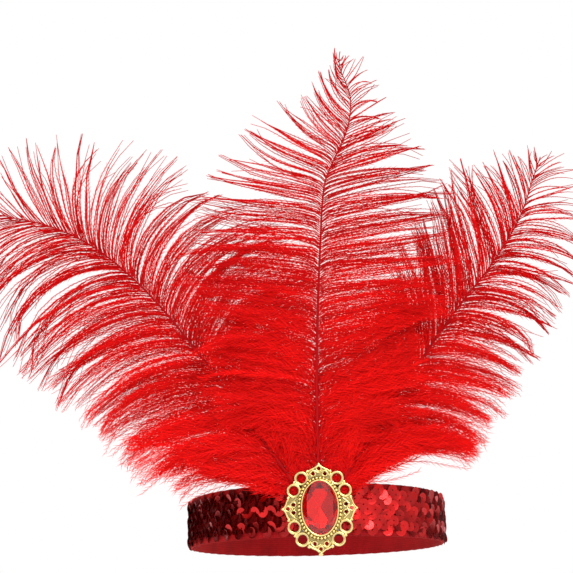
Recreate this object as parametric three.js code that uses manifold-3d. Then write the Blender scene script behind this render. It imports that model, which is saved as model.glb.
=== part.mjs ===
// Feather headband: an elastic band covered by three zigzag rows of sequins, with three plumes that
// rise behind an oval brooch at the front. Millimetres, +Z up, the front towards -Y, the origin in the
// middle of the head opening at half the band's height.

import * as THREE from "three";
import { mergeVertices } from "three/addons/utils/BufferGeometryUtils.js";
import Module from "manifold-3d";

const wasm = await Module();
wasm.setup();

// Driving sizes in millimetres, angles in degrees

const clearance = 0.3;
const seamTolerance = 0.04;

const band = { innerWidth: 160, innerDepth: 196, height: 30, wall: 1.2, sections: 56 };

const sequins = { rise: 2, waveLength: 10, thickness: 1.8, rowSpacing: 0.6 };

const stone = { width: 20, height: 30, crown: 2.2, girdle: 0.4, pavilion: 3, tableShare: 0.54 };

const setting = {
  floor: 0.7,
  bezelWall: 0.45,
  bezelLip: 0.4,
  beadDiameter: 1.75,
  beadPitch: 2,
  wireRadius: 0.8,
  loopRadius: 3.3,
  studRadius: 1.1,
  finialThickness: 1.5,
  eyeRadius: 0.95,
};

// The four pointed ends of the pierced border, by their angle round the oval. Distances are measured
// outwards from the collar and aside from the middle of the end.
const sideFinial = { shoulderOut: 4.9, shoulderAside: 6.2, eyeOut: 2.1, eyeAside: 2.2, tipOut: 8.2 };
const endFinial = { shoulderOut: 3.2, shoulderAside: 6.4, eyeOut: 1.7, eyeAside: 3.3, tipOut: 7.2 };
const finials = [
  { angle: 0, tipRadius: 0.9, ...sideFinial },
  { angle: 180, tipRadius: 0.9, ...sideFinial },
  { angle: 90, tipRadius: 0.9, ...endFinial },
  { angle: 270, tipRadius: 1.4, ...endFinial },
];

// The two large loops in each quarter of the border, by their angle round the oval
const loopAngles = { upper: 54, side: 29.5 };

const pin = { length: 24, height: 4, belowMiddle: 12 };

const quill = { rootRadius: 1.4, tipRadius: 0.4, spaceBetween: 1.7, sides: 5, steps: 12 };

// A plume's own length, its longest ordinary barb, and how far the barbs spread to front and back
const plumeLeft = { length: 276, barbLength: 80, spread: 14, setBack: 12 };
const plumeCenter = { length: 286, barbLength: 72, spread: 14, setBack: 0 };
const plumeRight = { length: 257, barbLength: 73, spread: 14, setBack: 7 };

const lock = { perSide: 13, steps: 4, fill: 0.9, seat: 0.45, stagger: 0.12, rootThickness: 1.5, tipThickness: 0.6 };

// Depths of the layers at the middle of the front, measured from the middle of the head opening
const bandFace = band.innerDepth / 2 + band.wall;
const rowFace = bandFace + clearance + sequins.thickness;
const quillLine = rowFace + clearance + quill.rootRadius;
const broochBack = quillLine + quill.rootRadius + clearance;

const quillPitch = 2 * quill.rootRadius + quill.spaceBetween;

// Each spine row: its place as a share of the plume's length, and the lean from upright towards +X.
// Each lock row: its root as a share of the plume's length, the heading where it leaves the quill and
// at its tip, its length as a share of the plume's barb length, and how far its tip stands to the
// front or to the back as a share of the plume's spread. The locks go by turns to front and back.
const plumes = [
  {
    name: "plume_left",
    ...plumeLeft,
    aside: -quillPitch,
    spine: [
      { at: 0.0, lean: -34 },
      { at: 0.3, lean: -34 },
      { at: 0.37, lean: -37 },
      { at: 0.5, lean: -39.5 },
      { at: 0.63, lean: -48 },
      { at: 0.73, lean: -60.5 },
      { at: 0.82, lean: -74 },
      { at: 0.9, lean: -80.7 },
      { at: 1.0, lean: -77 },
    ],
    right: [
      { at: 0.16, leave: 6, end: 44, reach: 0.6, fore: 0, aft: 0.2 },
      { at: 0.3, leave: 10, end: 62, reach: 0.88, fore: 0, aft: 0.7 },
      { at: 0.5, leave: 10, end: 60, reach: 0.92, fore: 0, aft: 1 },
      { at: 0.65, leave: 0, end: 50, reach: 0.9, fore: 0.3, aft: 1 },
      { at: 0.72, leave: -6, end: 34, reach: 0.88, fore: 0.6, aft: 1 },
      { at: 0.8, leave: -28, end: 4, reach: 0.8, fore: 1, aft: 1 },
      { at: 0.9, leave: -45, end: -32, reach: 0.62, fore: 1, aft: 1 },
      { at: 0.98, leave: -60, end: -56, reach: 0.32, fore: 0.6, aft: 0.6 },
    ],
    left: [
      { at: 0.05, leave: -112, end: -96, reach: 0.4, fore: 0.1, aft: 0 },
      { at: 0.12, leave: -94, end: -112, reach: 0.8, fore: 0.5, aft: 0 },
      { at: 0.2, leave: -90, end: -122, reach: 0.94, fore: 0.8, aft: 0.2 },
      { at: 0.3, leave: -86, end: -128, reach: 1.02, fore: 1, aft: 0.8 },
      { at: 0.45, leave: -84, end: -150, reach: 1.12, fore: 1, aft: 1 },
      { at: 0.6, leave: -85, end: -165, reach: 1.2, fore: 1, aft: 1 },
      { at: 0.73, leave: -86, end: -175, reach: 1.12, fore: 1, aft: 1 },
      { at: 0.86, leave: -90, end: -175, reach: 0.9, fore: 1, aft: 1 },
      { at: 0.98, leave: -88, end: -124, reach: 0.4, fore: 0.6, aft: 0.6 },
    ],
  },
  {
    name: "plume_center",
    ...plumeCenter,
    aside: 0,
    spine: [
      { at: 0.0, lean: -0.6 },
      { at: 0.24, lean: 1 },
      { at: 0.3, lean: 2.6 },
      { at: 0.4, lean: 3.5 },
      { at: 0.5, lean: 4.6 },
      { at: 0.67, lean: 4.2 },
      { at: 0.71, lean: 22 },
      { at: 0.78, lean: 29 },
      { at: 0.83, lean: 16 },
      { at: 0.87, lean: 2 },
      { at: 0.91, lean: -18 },
      { at: 0.95, lean: -14 },
      { at: 1.0, lean: 12 },
    ],
    right: [
      { at: 0.16, leave: 56, end: 114, reach: 0.92, fore: 0.6, aft: 0 },
      { at: 0.26, leave: 73, end: 66, reach: 0.95, fore: 1, aft: 0 },
      { at: 0.37, leave: 82, end: 84, reach: 0.95, fore: 1, aft: 0.05 },
      { at: 0.49, leave: 83, end: 95, reach: 0.96, fore: 1, aft: 0.1 },
      { at: 0.59, leave: 83, end: 88, reach: 0.76, fore: 1, aft: 0.1 },
      { at: 0.7, leave: 68, end: 85, reach: 0.72, fore: 1, aft: 0.2 },
      { at: 0.78, leave: 60, end: 80, reach: 0.6, fore: 1, aft: 0.8 },
      { at: 0.86, leave: 50, end: 80, reach: 0.48, fore: 1, aft: 1 },
      { at: 0.92, leave: 40, end: 74, reach: 0.34, fore: 0.8, aft: 0.8 },
      { at: 0.98, leave: 30, end: 50, reach: 0.16, fore: 0.4, aft: 0.4 },
    ],
    left: [
      { at: 0.16, leave: -58, end: -112, reach: 0.84, fore: 0.6, aft: 0 },
      { at: 0.26, leave: -72, end: -88, reach: 0.95, fore: 1, aft: 0 },
      { at: 0.37, leave: -80, end: -90, reach: 0.97, fore: 1, aft: 0.05 },
      { at: 0.49, leave: -80, end: -92, reach: 0.97, fore: 1, aft: 0.1 },
      { at: 0.59, leave: -80, end: -92, reach: 0.8, fore: 1, aft: 0.1 },
      { at: 0.66, leave: -76, end: -88, reach: 0.85, fore: 1, aft: 0.2 },
      { at: 0.73, leave: -66, end: -78, reach: 0.86, fore: 1, aft: 0.6 },
      { at: 0.79, leave: -56, end: -34, reach: 0.76, fore: 1, aft: 1 },
      { at: 0.86, leave: -48, end: -14, reach: 0.56, fore: 1, aft: 1 },
      { at: 0.92, leave: -40, end: -4, reach: 0.38, fore: 0.8, aft: 0.8 },
      { at: 0.98, leave: -26, end: 0, reach: 0.14, fore: 0.4, aft: 0.4 },
    ],
  },
  {
    name: "plume_right",
    ...plumeRight,
    aside: quillPitch,
    spine: [
      { at: 0.0, lean: 30 },
      { at: 0.07, lean: 31 },
      { at: 0.13, lean: 36 },
      { at: 0.25, lean: 34 },
      { at: 0.4, lean: 38 },
      { at: 0.54, lean: 36.5 },
      { at: 0.65, lean: 41 },
      { at: 0.75, lean: 38 },
      { at: 0.82, lean: 31 },
      { at: 0.88, lean: 24 },
      { at: 0.94, lean: 19.6 },
      { at: 1.0, lean: 16 },
    ],
    right: [
      { at: 0.07, leave: 84, end: 92, reach: 0.56, fore: 0.1, aft: 0 },
      { at: 0.12, leave: 78, end: 100, reach: 0.66, fore: 0.4, aft: 0 },
      { at: 0.2, leave: 82, end: 116, reach: 0.72, fore: 0.8, aft: 0.3 },
      { at: 0.3, leave: 84, end: 128, reach: 0.78, fore: 1, aft: 0.8 },
      { at: 0.45, leave: 85, end: 134, reach: 0.82, fore: 1, aft: 1 },
      { at: 0.65, leave: 84, end: 140, reach: 0.82, fore: 1, aft: 1 },
      { at: 0.8, leave: 76, end: 130, reach: 0.76, fore: 1, aft: 1 },
      { at: 0.92, leave: 62, end: 96, reach: 0.46, fore: 0.8, aft: 0.8 },
      { at: 0.98, leave: 36, end: 52, reach: 0.18, fore: 0.4, aft: 0.4 },
    ],
    left: [
      { at: 0.16, leave: 2, end: -18, reach: 0.6, fore: 0, aft: 0 },
      { at: 0.3, leave: 5, end: -14, reach: 0.92, fore: 0, aft: 0.1 },
      { at: 0.45, leave: 5, end: -12, reach: 1, fore: 0, aft: 0.6 },
      { at: 0.6, leave: 3, end: -15, reach: 1, fore: 0, aft: 1 },
      { at: 0.75, leave: 4, end: -20, reach: 0.82, fore: 0.4, aft: 1 },
      { at: 0.88, leave: 0, end: -24, reach: 0.52, fore: 0.8, aft: 0.8 },
      { at: 0.98, leave: 6, end: -6, reach: 0.2, fore: 0.4, aft: 0.4 },
    ],
  },
];

// All plumes leave the brooch upright, stand back between these shares of their length, and curl
// towards the front at the top
const stance = { backFrom: 0.1, backTo: 0.3, curlForward: 16 };

// Materials

const elasticCloth = new THREE.MeshStandardMaterial({ color: 0x8c1018, roughness: 0.9, metalness: 0 });
const sequinFoil = new THREE.MeshStandardMaterial({ color: 0xc01626, roughness: 0.25, metalness: 0.4 });
const goldMetal = new THREE.MeshStandardMaterial({ color: 0xd9bf6a, roughness: 0.3, metalness: 1 });
const redGlass = new THREE.MeshStandardMaterial({ color: 0xd0101c, roughness: 0.08, metalness: 0 });
const pinSteel = new THREE.MeshStandardMaterial({ color: 0xb8b8bc, roughness: 0.4, metalness: 1 });
const redFeather = new THREE.MeshStandardMaterial({ color: 0xd20f18, roughness: 0.7, metalness: 0 });

// Small helpers

const radians = THREE.MathUtils.degToRad;

function ease(value, from, to) {
  return THREE.MathUtils.smoothstep(value, from, to);
}

function readTable(rows, column, at) {
  const next = rows.findIndex((row) => row.at >= at);
  if (next === 0) return rows[0][column];
  if (next === -1) return rows[rows.length - 1][column];
  const low = rows[next - 1];
  const high = rows[next];
  return THREE.MathUtils.mapLinear(at, low.at, high.at, low[column], high[column]);
}

function signedVolume(points, faces) {
  return faces.reduce((sum, [a, b, c]) => {
    const cross = new THREE.Vector3().crossVectors(points[b], points[c]);
    return sum + points[a].dot(cross);
  }, 0);
}

function closedGeometry(points, faces) {
  const turned = signedVolume(points, faces) < 0 ? faces.map(([a, b, c]) => [a, c, b]) : faces;
  const geometry = new THREE.BufferGeometry().setFromPoints(points);
  geometry.setIndex(turned.flat());
  geometry.computeVertexNormals();
  return geometry;
}

// A skin over sections of equal point count: a closed ring, a rod, or a strand that ends in one point
function skin(sections, { ring = false, tip = null } = {}) {
  const count = sections[0].length;
  const points = sections.flat();
  const faces = [];
  const spans = ring ? sections.length : sections.length - 1;
  for (let row = 0; row < spans; row += 1) {
    const here = row * count;
    const there = ((row + 1) % sections.length) * count;
    for (let side = 0; side < count; side += 1) {
      const next = (side + 1) % count;
      faces.push([here + side, here + next, there + next], [here + side, there + next, there + side]);
    }
  }
  if (!ring) {
    const last = (sections.length - 1) * count;
    for (let side = 1; side < count - 1; side += 1) {
      faces.push([0, side + 1, side]);
      if (!tip) faces.push([last, last + side, last + side + 1]);
    }
    if (tip) {
      points.push(tip);
      for (let side = 0; side < count; side += 1) {
        faces.push([last + side, last + ((side + 1) % count), points.length - 1]);
      }
    }
  }
  return closedGeometry(points, faces);
}

function toSolid(geometry) {
  const bare = geometry.clone();
  bare.deleteAttribute("normal");
  bare.deleteAttribute("uv");
  const merged = mergeVertices(bare, 1e-4);
  return new wasm.Manifold(
    new wasm.Mesh({
      numProp: 3,
      vertProperties: Float32Array.from(merged.attributes.position.array),
      triVerts: Uint32Array.from(merged.index.array),
    })
  );
}

function fromSolid(solid) {
  const mesh = solid.getMesh();
  const geometry = new THREE.BufferGeometry();
  geometry.setAttribute("position", new THREE.Float32BufferAttribute(mesh.vertProperties, 3));
  geometry.setIndex(Array.from(mesh.triVerts));
  geometry.computeVertexNormals();
  return geometry;
}

// One solid of all the pieces. Slivers thinner than the seam tolerance are taken up first. A bubble
// sealed between crossing pieces is then a shell of negative volume, and leaving it out fills it.
function fuse(geometries) {
  const whole = geometries.map(toSolid).reduce((sum, piece) => sum.add(piece));
  const shells = whole.setTolerance(seamTolerance).decompose();
  return shells.filter((shell) => shell.volume() > 0).reduce((sum, shell) => sum.add(shell));
}

function named(name, geometry, material) {
  const mesh = new THREE.Mesh(geometry, material);
  mesh.name = name;
  return mesh;
}

// Elastic band and the rows on it

const headLoop = new THREE.EllipseCurve(
  0, 0, band.innerWidth / 2, band.innerDepth / 2, -Math.PI / 2, 1.5 * Math.PI
);

// A point at a share of the way round from the front, a distance outside the inner face
function loopSpot(share, outside, height) {
  const spot = headLoop.getPointAt(share);
  const along = headLoop.getTangentAt(share);
  return new THREE.Vector3(spot.x + along.y * outside, spot.y - along.x * outside, height);
}

function elasticBand() {
  const sections = [];
  const top = band.height / 2;
  for (let step = 0; step < band.sections; step += 1) {
    const share = step / band.sections;
    sections.push([
      loopSpot(share, 0, -top),
      loopSpot(share, band.wall, -top),
      loopSpot(share, band.wall, top),
      loopSpot(share, 0, top),
    ]);
  }
  return named("elastic_band", skin(sections, { ring: true }), elasticCloth);
}

function sequinRow(name, place) {
  const rowPitch = (band.height - 2 * sequins.rise) / 3;
  const halfHeight = (rowPitch - sequins.rowSpacing) / 2;
  const waves = Math.round(headLoop.getLength() / sequins.waveLength);
  const inner = band.wall + clearance;
  const outer = inner + sequins.thickness;
  const sections = [];
  for (let step = 0; step < 2 * waves; step += 1) {
    const share = step / (2 * waves);
    const middle = place * rowPitch + (step % 2 ? sequins.rise : -sequins.rise);
    sections.push([
      loopSpot(share, inner, middle - halfHeight),
      loopSpot(share, outer, middle),
      loopSpot(share, inner, middle + halfHeight),
    ]);
  }
  return named(name, skin(sections, { ring: true }), sequinFoil);
}

// Brooch, drawn flat: X to the right, Y up, Z from its back plane to the front

const stoneSeat = setting.floor + clearance;
const girdleHeight = stoneSeat + stone.pavilion;
const bezelHeight = girdleHeight + stone.girdle + setting.bezelLip;
const bezelOutside = clearance + setting.bezelWall;
const collarOutside = bezelOutside + setting.beadDiameter + 0.1;
const collarHeight = girdleHeight - setting.beadDiameter / 2;
const ovalSegments = 12;

function ovalPath(outside, path) {
  path.absellipse(0, 0, stone.width / 2 + outside, stone.height / 2 + outside, 0, 2 * Math.PI);
  return path;
}

function plate(outline, thickness, curveSegments) {
  return new THREE.ExtrudeGeometry(outline, { depth: thickness, bevelEnabled: false, curveSegments });
}

function ovalPlate(outside, holeOutside, height) {
  const outline = ovalPath(outside, new THREE.Shape());
  if (holeOutside !== null) outline.holes.push(ovalPath(holeOutside, new THREE.Path()));
  return plate(outline, height, ovalSegments);
}

// Where a round thing sits when its middle is a distance outside the collar, at an angle of the oval
function besideCollar(angle, distance) {
  const across = stone.width / 2 + collarOutside;
  const up = stone.height / 2 + collarOutside;
  const turn = radians(angle);
  const normal = new THREE.Vector2(Math.cos(turn) / across, Math.sin(turn) / up).normalize();
  return new THREE.Vector2(
    across * Math.cos(turn) + normal.x * distance,
    up * Math.sin(turn) + normal.y * distance
  );
}

function ball(spot, radius, height) {
  return new THREE.SphereGeometry(radius, 10, 3).rotateX(Math.PI / 2).translate(spot.x, spot.y, height);
}

// A half round bead whose flat base lies on the collar
function collarBead(spot) {
  const radius = setting.beadDiameter / 2;
  const profile = [
    new THREE.Vector2(0, 0),
    new THREE.Vector2(radius, 0),
    new THREE.Vector2(radius * 0.74, radius * 0.67),
    new THREE.Vector2(0, radius),
  ];
  return new THREE.LatheGeometry(profile, 10).rotateX(Math.PI / 2).translate(spot.x, spot.y, collarHeight);
}

function collarBeads() {
  const middle = (bezelOutside + collarOutside) / 2;
  const ring = new THREE.EllipseCurve(0, 0, stone.width / 2 + middle, stone.height / 2 + middle);
  const count = Math.round(ring.getLength() / setting.beadPitch);
  return Array.from({ length: count }, (_, step) => collarBead(ring.getPointAt(step / count)));
}

function wireLoop(spot) {
  const ring = new THREE.TorusGeometry(setting.loopRadius, setting.wireRadius, 5, 12);
  return ring.translate(spot.x, spot.y, setting.wireRadius);
}

// Two large loops and the stud in the notch between them; the other quarters mirror them
function borderQuarter(right, up) {
  const mirror = (spot) => new THREE.Vector2(spot.x * right, spot.y * up);
  const loopReach = setting.loopRadius + setting.wireRadius / 2;
  const upper = besideCollar(loopAngles.upper, loopReach);
  const side = besideCollar(loopAngles.side, loopReach);
  const toNotch = new THREE.Vector2().subVectors(side, upper).rotateAround(new THREE.Vector2(), radians(29));
  const stud = upper.clone().addScaledVector(toNotch.normalize(), loopReach + setting.wireRadius);
  return [
    wireLoop(mirror(upper)),
    wireLoop(mirror(side)),
    ball(mirror(stud), setting.studRadius, setting.wireRadius),
  ];
}

// A pointed end plate with three eyes cut through, a stud on each shoulder and a ball at its tip
function borderFinial(finial) {
  const { shoulderOut, shoulderAside, eyeOut, eyeAside, tipOut, tipRadius } = finial;
  const foot = -setting.beadDiameter - setting.bezelWall;
  const topEyeOut = (eyeOut + tipOut) / 2 + 0.2 * setting.eyeRadius;
  const neck = 2.1 * setting.eyeRadius;
  const outline = new THREE.Shape();
  outline.moveTo(foot, -shoulderAside);
  outline.lineTo(shoulderOut, -shoulderAside);
  outline.quadraticCurveTo(eyeOut + setting.eyeRadius, -1.3 * neck, topEyeOut, -neck);
  outline.lineTo(tipOut, -neck / 4);
  outline.lineTo(tipOut, neck / 4);
  outline.lineTo(topEyeOut, neck);
  outline.quadraticCurveTo(eyeOut + setting.eyeRadius, 1.3 * neck, shoulderOut, shoulderAside);
  outline.lineTo(foot, shoulderAside);
  const eyes = [[eyeOut, -eyeAside], [eyeOut, eyeAside], [topEyeOut, 0]];
  for (const [out, aside] of eyes) {
    outline.holes.push(new THREE.Path().absarc(out, aside, setting.eyeRadius, 0, 2 * Math.PI));
  }
  const pieces = [
    plate(outline, setting.finialThickness, 4),
    ball(new THREE.Vector2(shoulderOut, -shoulderAside), setting.studRadius, setting.wireRadius),
    ball(new THREE.Vector2(shoulderOut, shoulderAside), setting.studRadius, setting.wireRadius),
    ball(new THREE.Vector2(tipOut, 0), tipRadius, setting.wireRadius),
  ];
  const base = besideCollar(finial.angle, 0);
  return pieces.map((piece) => piece.rotateZ(radians(finial.angle)).translate(base.x, base.y, 0));
}

function broochSetting() {
  const pieces = [
    ovalPlate(bezelOutside, null, setting.floor),
    ovalPlate(bezelOutside, clearance, bezelHeight),
    ovalPlate(collarOutside, bezelOutside - setting.bezelWall / 2, collarHeight),
    ...collarBeads(),
    ...borderQuarter(1, 1),
    ...borderQuarter(-1, 1),
    ...borderQuarter(1, -1),
    ...borderQuarter(-1, -1),
    ...finials.flatMap(borderFinial),
  ];
  const room = ovalPlate(clearance, null, bezelHeight).translate(0, 0, setting.floor);
  return named("brooch_setting", fromSolid(fuse(pieces).subtract(toSolid(room))), goldMetal);
}

// An oval cut: an eight-sided table, crown, girdle and a pavilion that ends in a point
function broochStone() {
  const tableHeight = girdleHeight + stone.girdle + stone.crown;
  const points = [];
  const faces = [];
  const ring = (count, share, height, first) => {
    const start = points.length;
    for (let step = 0; step < count; step += 1) {
      const turn = radians(first + (360 * step) / count);
      const across = (share * stone.width * Math.cos(turn)) / 2;
      points.push(new THREE.Vector3(across, (share * stone.height * Math.sin(turn)) / 2, height));
    }
    return start;
  };
  const table = ring(8, stone.tableShare, tableHeight, 22.5);
  const girdleTop = ring(16, 1, girdleHeight + stone.girdle, 0);
  const girdleFoot = ring(16, 1, girdleHeight, 0);
  const waist = ring(8, 0.52, girdleHeight - 0.62 * stone.pavilion, 0);
  const point = points.push(new THREE.Vector3(0, 0, stoneSeat)) - 1;
  for (let side = 1; side < 7; side += 1) faces.push([table, table + side, table + side + 1]);
  for (let side = 0; side < 8; side += 1) {
    const next = (side + 1) % 8;
    const onTop = (step) => girdleTop + ((2 * side + step) % 16);
    const onFoot = (step) => girdleFoot + ((2 * side + step) % 16);
    faces.push([table + side, onTop(1), onTop(2)]);
    faces.push([table + side, onTop(2), table + next]);
    faces.push([table + next, onTop(2), onTop(3)]);
    faces.push([waist + side, onFoot(1), onFoot(0)]);
    faces.push([waist + side, waist + next, onFoot(1)]);
    faces.push([waist + next, onFoot(2), onFoot(1)]);
    faces.push([waist + side, point, waist + next]);
    for (let step = 0; step < 2; step += 1) {
      faces.push([onFoot(step), onFoot(step + 1), onTop(step + 1)]);
      faces.push([onFoot(step), onTop(step + 1), onTop(step)]);
    }
  }
  return named("brooch_stone", closedGeometry(points, faces), redGlass);
}

function broochPin() {
  const depth = broochBack - clearance - (rowFace + clearance);
  const bar = new THREE.BoxGeometry(pin.length, pin.height, depth);
  return named("brooch_pin", bar.translate(0, -pin.belowMiddle, -clearance - depth / 2), pinSteel);
}

// Plumes

function heading(lean) {
  return new THREE.Vector3(Math.sin(radians(lean)), 0, Math.cos(radians(lean)));
}

function walk(start, leanAt, length, steps) {
  const spots = [start];
  for (let step = 0; step < steps; step += 1) {
    const stride = heading(leanAt((step + 0.5) / steps)).multiplyScalar(length / steps);
    spots.push(spots[step].clone().add(stride));
  }
  return spots;
}

function quillCurve(plume) {
  const root = new THREE.Vector3(plume.aside, -quillLine, 0);
  const leanAt = (share) => readTable(plume.spine, "lean", share);
  const spots = walk(root, leanAt, plume.length, 3 * quill.steps);
  spots.forEach((spot, step) => {
    const share = step / (3 * quill.steps);
    const back = plume.setBack * ease(share, stance.backFrom, stance.backTo);
    spot.y += back - stance.curlForward * share ** 3;
  });
  return (share) => {
    const place = share * 3 * quill.steps;
    const low = Math.min(Math.floor(place), spots.length - 2);
    return spots[low].clone().lerp(spots[low + 1], place - low);
  };
}

function quillRadius(share) {
  return THREE.MathUtils.lerp(quill.rootRadius, quill.tipRadius, share);
}

function quillRod(plume, curve) {
  const sections = [];
  for (let step = 0; step < quill.steps; step += 1) {
    const share = step / quill.steps;
    const radius = quillRadius(share);
    const side = heading(readTable(plume.spine, "lean", share) + 90);
    const section = [];
    for (let corner = 0; corner < quill.sides; corner += 1) {
      const turn = (2 * Math.PI * corner) / quill.sides;
      const spot = curve(share).addScaledVector(side, radius * Math.cos(turn));
      spot.y += radius * Math.sin(turn);
      section.push(spot);
    }
    sections.push(section);
  }
  return skin(sections, { tip: curve(1) });
}

// A flat lock of barbs with a low ridge along its front, from the middle of the quill to a point
function barbLock(plume, curve, rows, at, spacing, toFront) {
  const leave = readTable(rows, "leave", at);
  const end = readTable(rows, "end", at);
  const reach = readTable(rows, "reach", at) * plume.barbLength;
  const stand = toFront ? -readTable(rows, "fore", at) : readTable(rows, "aft", at);
  const leanAt = (share) => THREE.MathUtils.lerp(leave, end, share);
  const spineLean = readTable(plume.spine, "lean", at);
  const slant = Math.abs(Math.sin(radians(leave - spineLean)));
  const towards = Math.sign(spineLean - leave);
  const rootWidth = Math.min(lock.fill * spacing, 2 * (1 - at) * plume.length);
  const root = curve(at).addScaledVector(heading(leave), -lock.seat * quillRadius(at));
  root.y += lock.stagger * (towards / 2 - (toFront ? 1 : -1));
  const spots = walk(root, leanAt, reach, lock.steps);
  spots.forEach((spot, step) => {
    spot.y += plume.spread * stand * (step / lock.steps) ** 2;
  });
  const sections = spots.slice(0, -1).map((spot, step) => {
    const share = step / lock.steps;
    const width = rootWidth * (step ? slant * (1 - share ** 3) : 1);
    const thickness = THREE.MathUtils.lerp(lock.rootThickness, lock.tipThickness, share);
    const side = step ? heading(leanAt(share) + 90) : heading(spineLean).multiplyScalar(towards);
    const back = spot.clone();
    back.y += thickness / 2;
    const ridge = spot.clone();
    ridge.y -= thickness / 2;
    return [
      back.clone().addScaledVector(side, width / 2),
      back.clone().addScaledVector(side, -width / 2),
      ridge,
    ];
  });
  return skin(sections, { tip: spots[lock.steps] });
}

function sideLocks(plume, curve, rows, shift) {
  const first = rows[0].at;
  const last = rows[rows.length - 1].at;
  const spacing = (last - first) / (lock.perSide - 1);
  return Array.from({ length: lock.perSide }, (_, step) => {
    const at = first + spacing * step;
    return barbLock(plume, curve, rows, at, spacing * plume.length, (step + shift) % 2 === 0);
  });
}

function plumeMesh(plume) {
  const curve = quillCurve(plume);
  const pieces = [
    quillRod(plume, curve),
    ...sideLocks(plume, curve, plume.left, 1),
    ...sideLocks(plume, curve, plume.right, 0),
  ];
  return named(plume.name, fromSolid(fuse(pieces)), redFeather);
}

// The whole headband

const headband = new THREE.Group();
headband.add(elasticBand());
headband.add(sequinRow("sequin_row_top", 1));
headband.add(sequinRow("sequin_row_middle", 0));
headband.add(sequinRow("sequin_row_bottom", -1));

const brooch = new THREE.Group();
brooch.position.set(0, -broochBack, 0);
brooch.rotation.x = Math.PI / 2;
brooch.add(broochSetting(), broochStone(), broochPin());
headband.add(brooch);

plumes.forEach((plume) => headband.add(plumeMesh(plume)));

export default headband;
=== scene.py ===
import math
import random

import bmesh
import bpy
import numpy as np
from bpy.props import FloatProperty, FloatVectorProperty, IntProperty, PointerProperty
from bpy.types import Operator, Panel, PropertyGroup
from mathutils import Matrix, Vector


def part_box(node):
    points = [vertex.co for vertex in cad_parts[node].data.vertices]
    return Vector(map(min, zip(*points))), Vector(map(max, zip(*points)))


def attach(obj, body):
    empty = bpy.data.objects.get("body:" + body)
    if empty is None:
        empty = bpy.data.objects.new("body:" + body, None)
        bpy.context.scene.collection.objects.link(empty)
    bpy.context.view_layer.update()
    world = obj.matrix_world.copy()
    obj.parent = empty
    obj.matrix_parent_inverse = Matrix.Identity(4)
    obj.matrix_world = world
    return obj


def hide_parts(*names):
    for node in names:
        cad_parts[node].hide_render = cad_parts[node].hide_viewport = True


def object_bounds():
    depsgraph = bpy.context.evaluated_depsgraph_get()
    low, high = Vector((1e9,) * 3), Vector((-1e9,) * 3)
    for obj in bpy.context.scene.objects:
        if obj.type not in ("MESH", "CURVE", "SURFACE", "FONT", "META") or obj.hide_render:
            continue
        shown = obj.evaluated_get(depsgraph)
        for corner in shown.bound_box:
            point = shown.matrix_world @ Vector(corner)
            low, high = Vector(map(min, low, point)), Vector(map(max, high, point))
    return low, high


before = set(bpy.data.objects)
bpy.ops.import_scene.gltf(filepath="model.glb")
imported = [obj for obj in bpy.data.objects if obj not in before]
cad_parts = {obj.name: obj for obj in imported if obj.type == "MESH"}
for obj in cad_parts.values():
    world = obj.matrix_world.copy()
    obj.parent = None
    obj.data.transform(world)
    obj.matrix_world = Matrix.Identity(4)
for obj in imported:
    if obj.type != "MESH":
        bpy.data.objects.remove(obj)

bl_info = {
    "name": "Feather Headband",
    "version": (1, 0, 0),
    "blender": (4, 5, 0),
    "location": "3D View > Sidebar > Headband",
    "description": "Sequinned elastic headband with three ostrich plumes behind a pierced gold brooch",
    "category": "Object",
}

# Everything is in metres, +Z up, with the front of the headband towards -Y

MM = 0.001
BODY = "root"

CAD_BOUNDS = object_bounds()
BAND_LOW, BAND_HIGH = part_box("elastic_band")
SETTING_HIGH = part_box("brooch_setting")[1]
STONE_LOW, STONE_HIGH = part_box("brooch_stone")
ROW_NODES = ("sequin_row_top", "sequin_row_middle", "sequin_row_bottom")
ROW_BOXES = [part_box(name) for name in ROW_NODES]

BAND_HEIGHT = BAND_HIGH.z - BAND_LOW.z
BROOCH_BACK = SETTING_HIGH.y
STONE_WIDTH = STONE_HIGH.x - STONE_LOW.x
STONE_HEIGHT = STONE_HIGH.z - STONE_LOW.z
STONE_BACK = BROOCH_BACK - STONE_HIGH.y
STONE_DEPTH = STONE_HIGH.y - STONE_LOW.y

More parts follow.
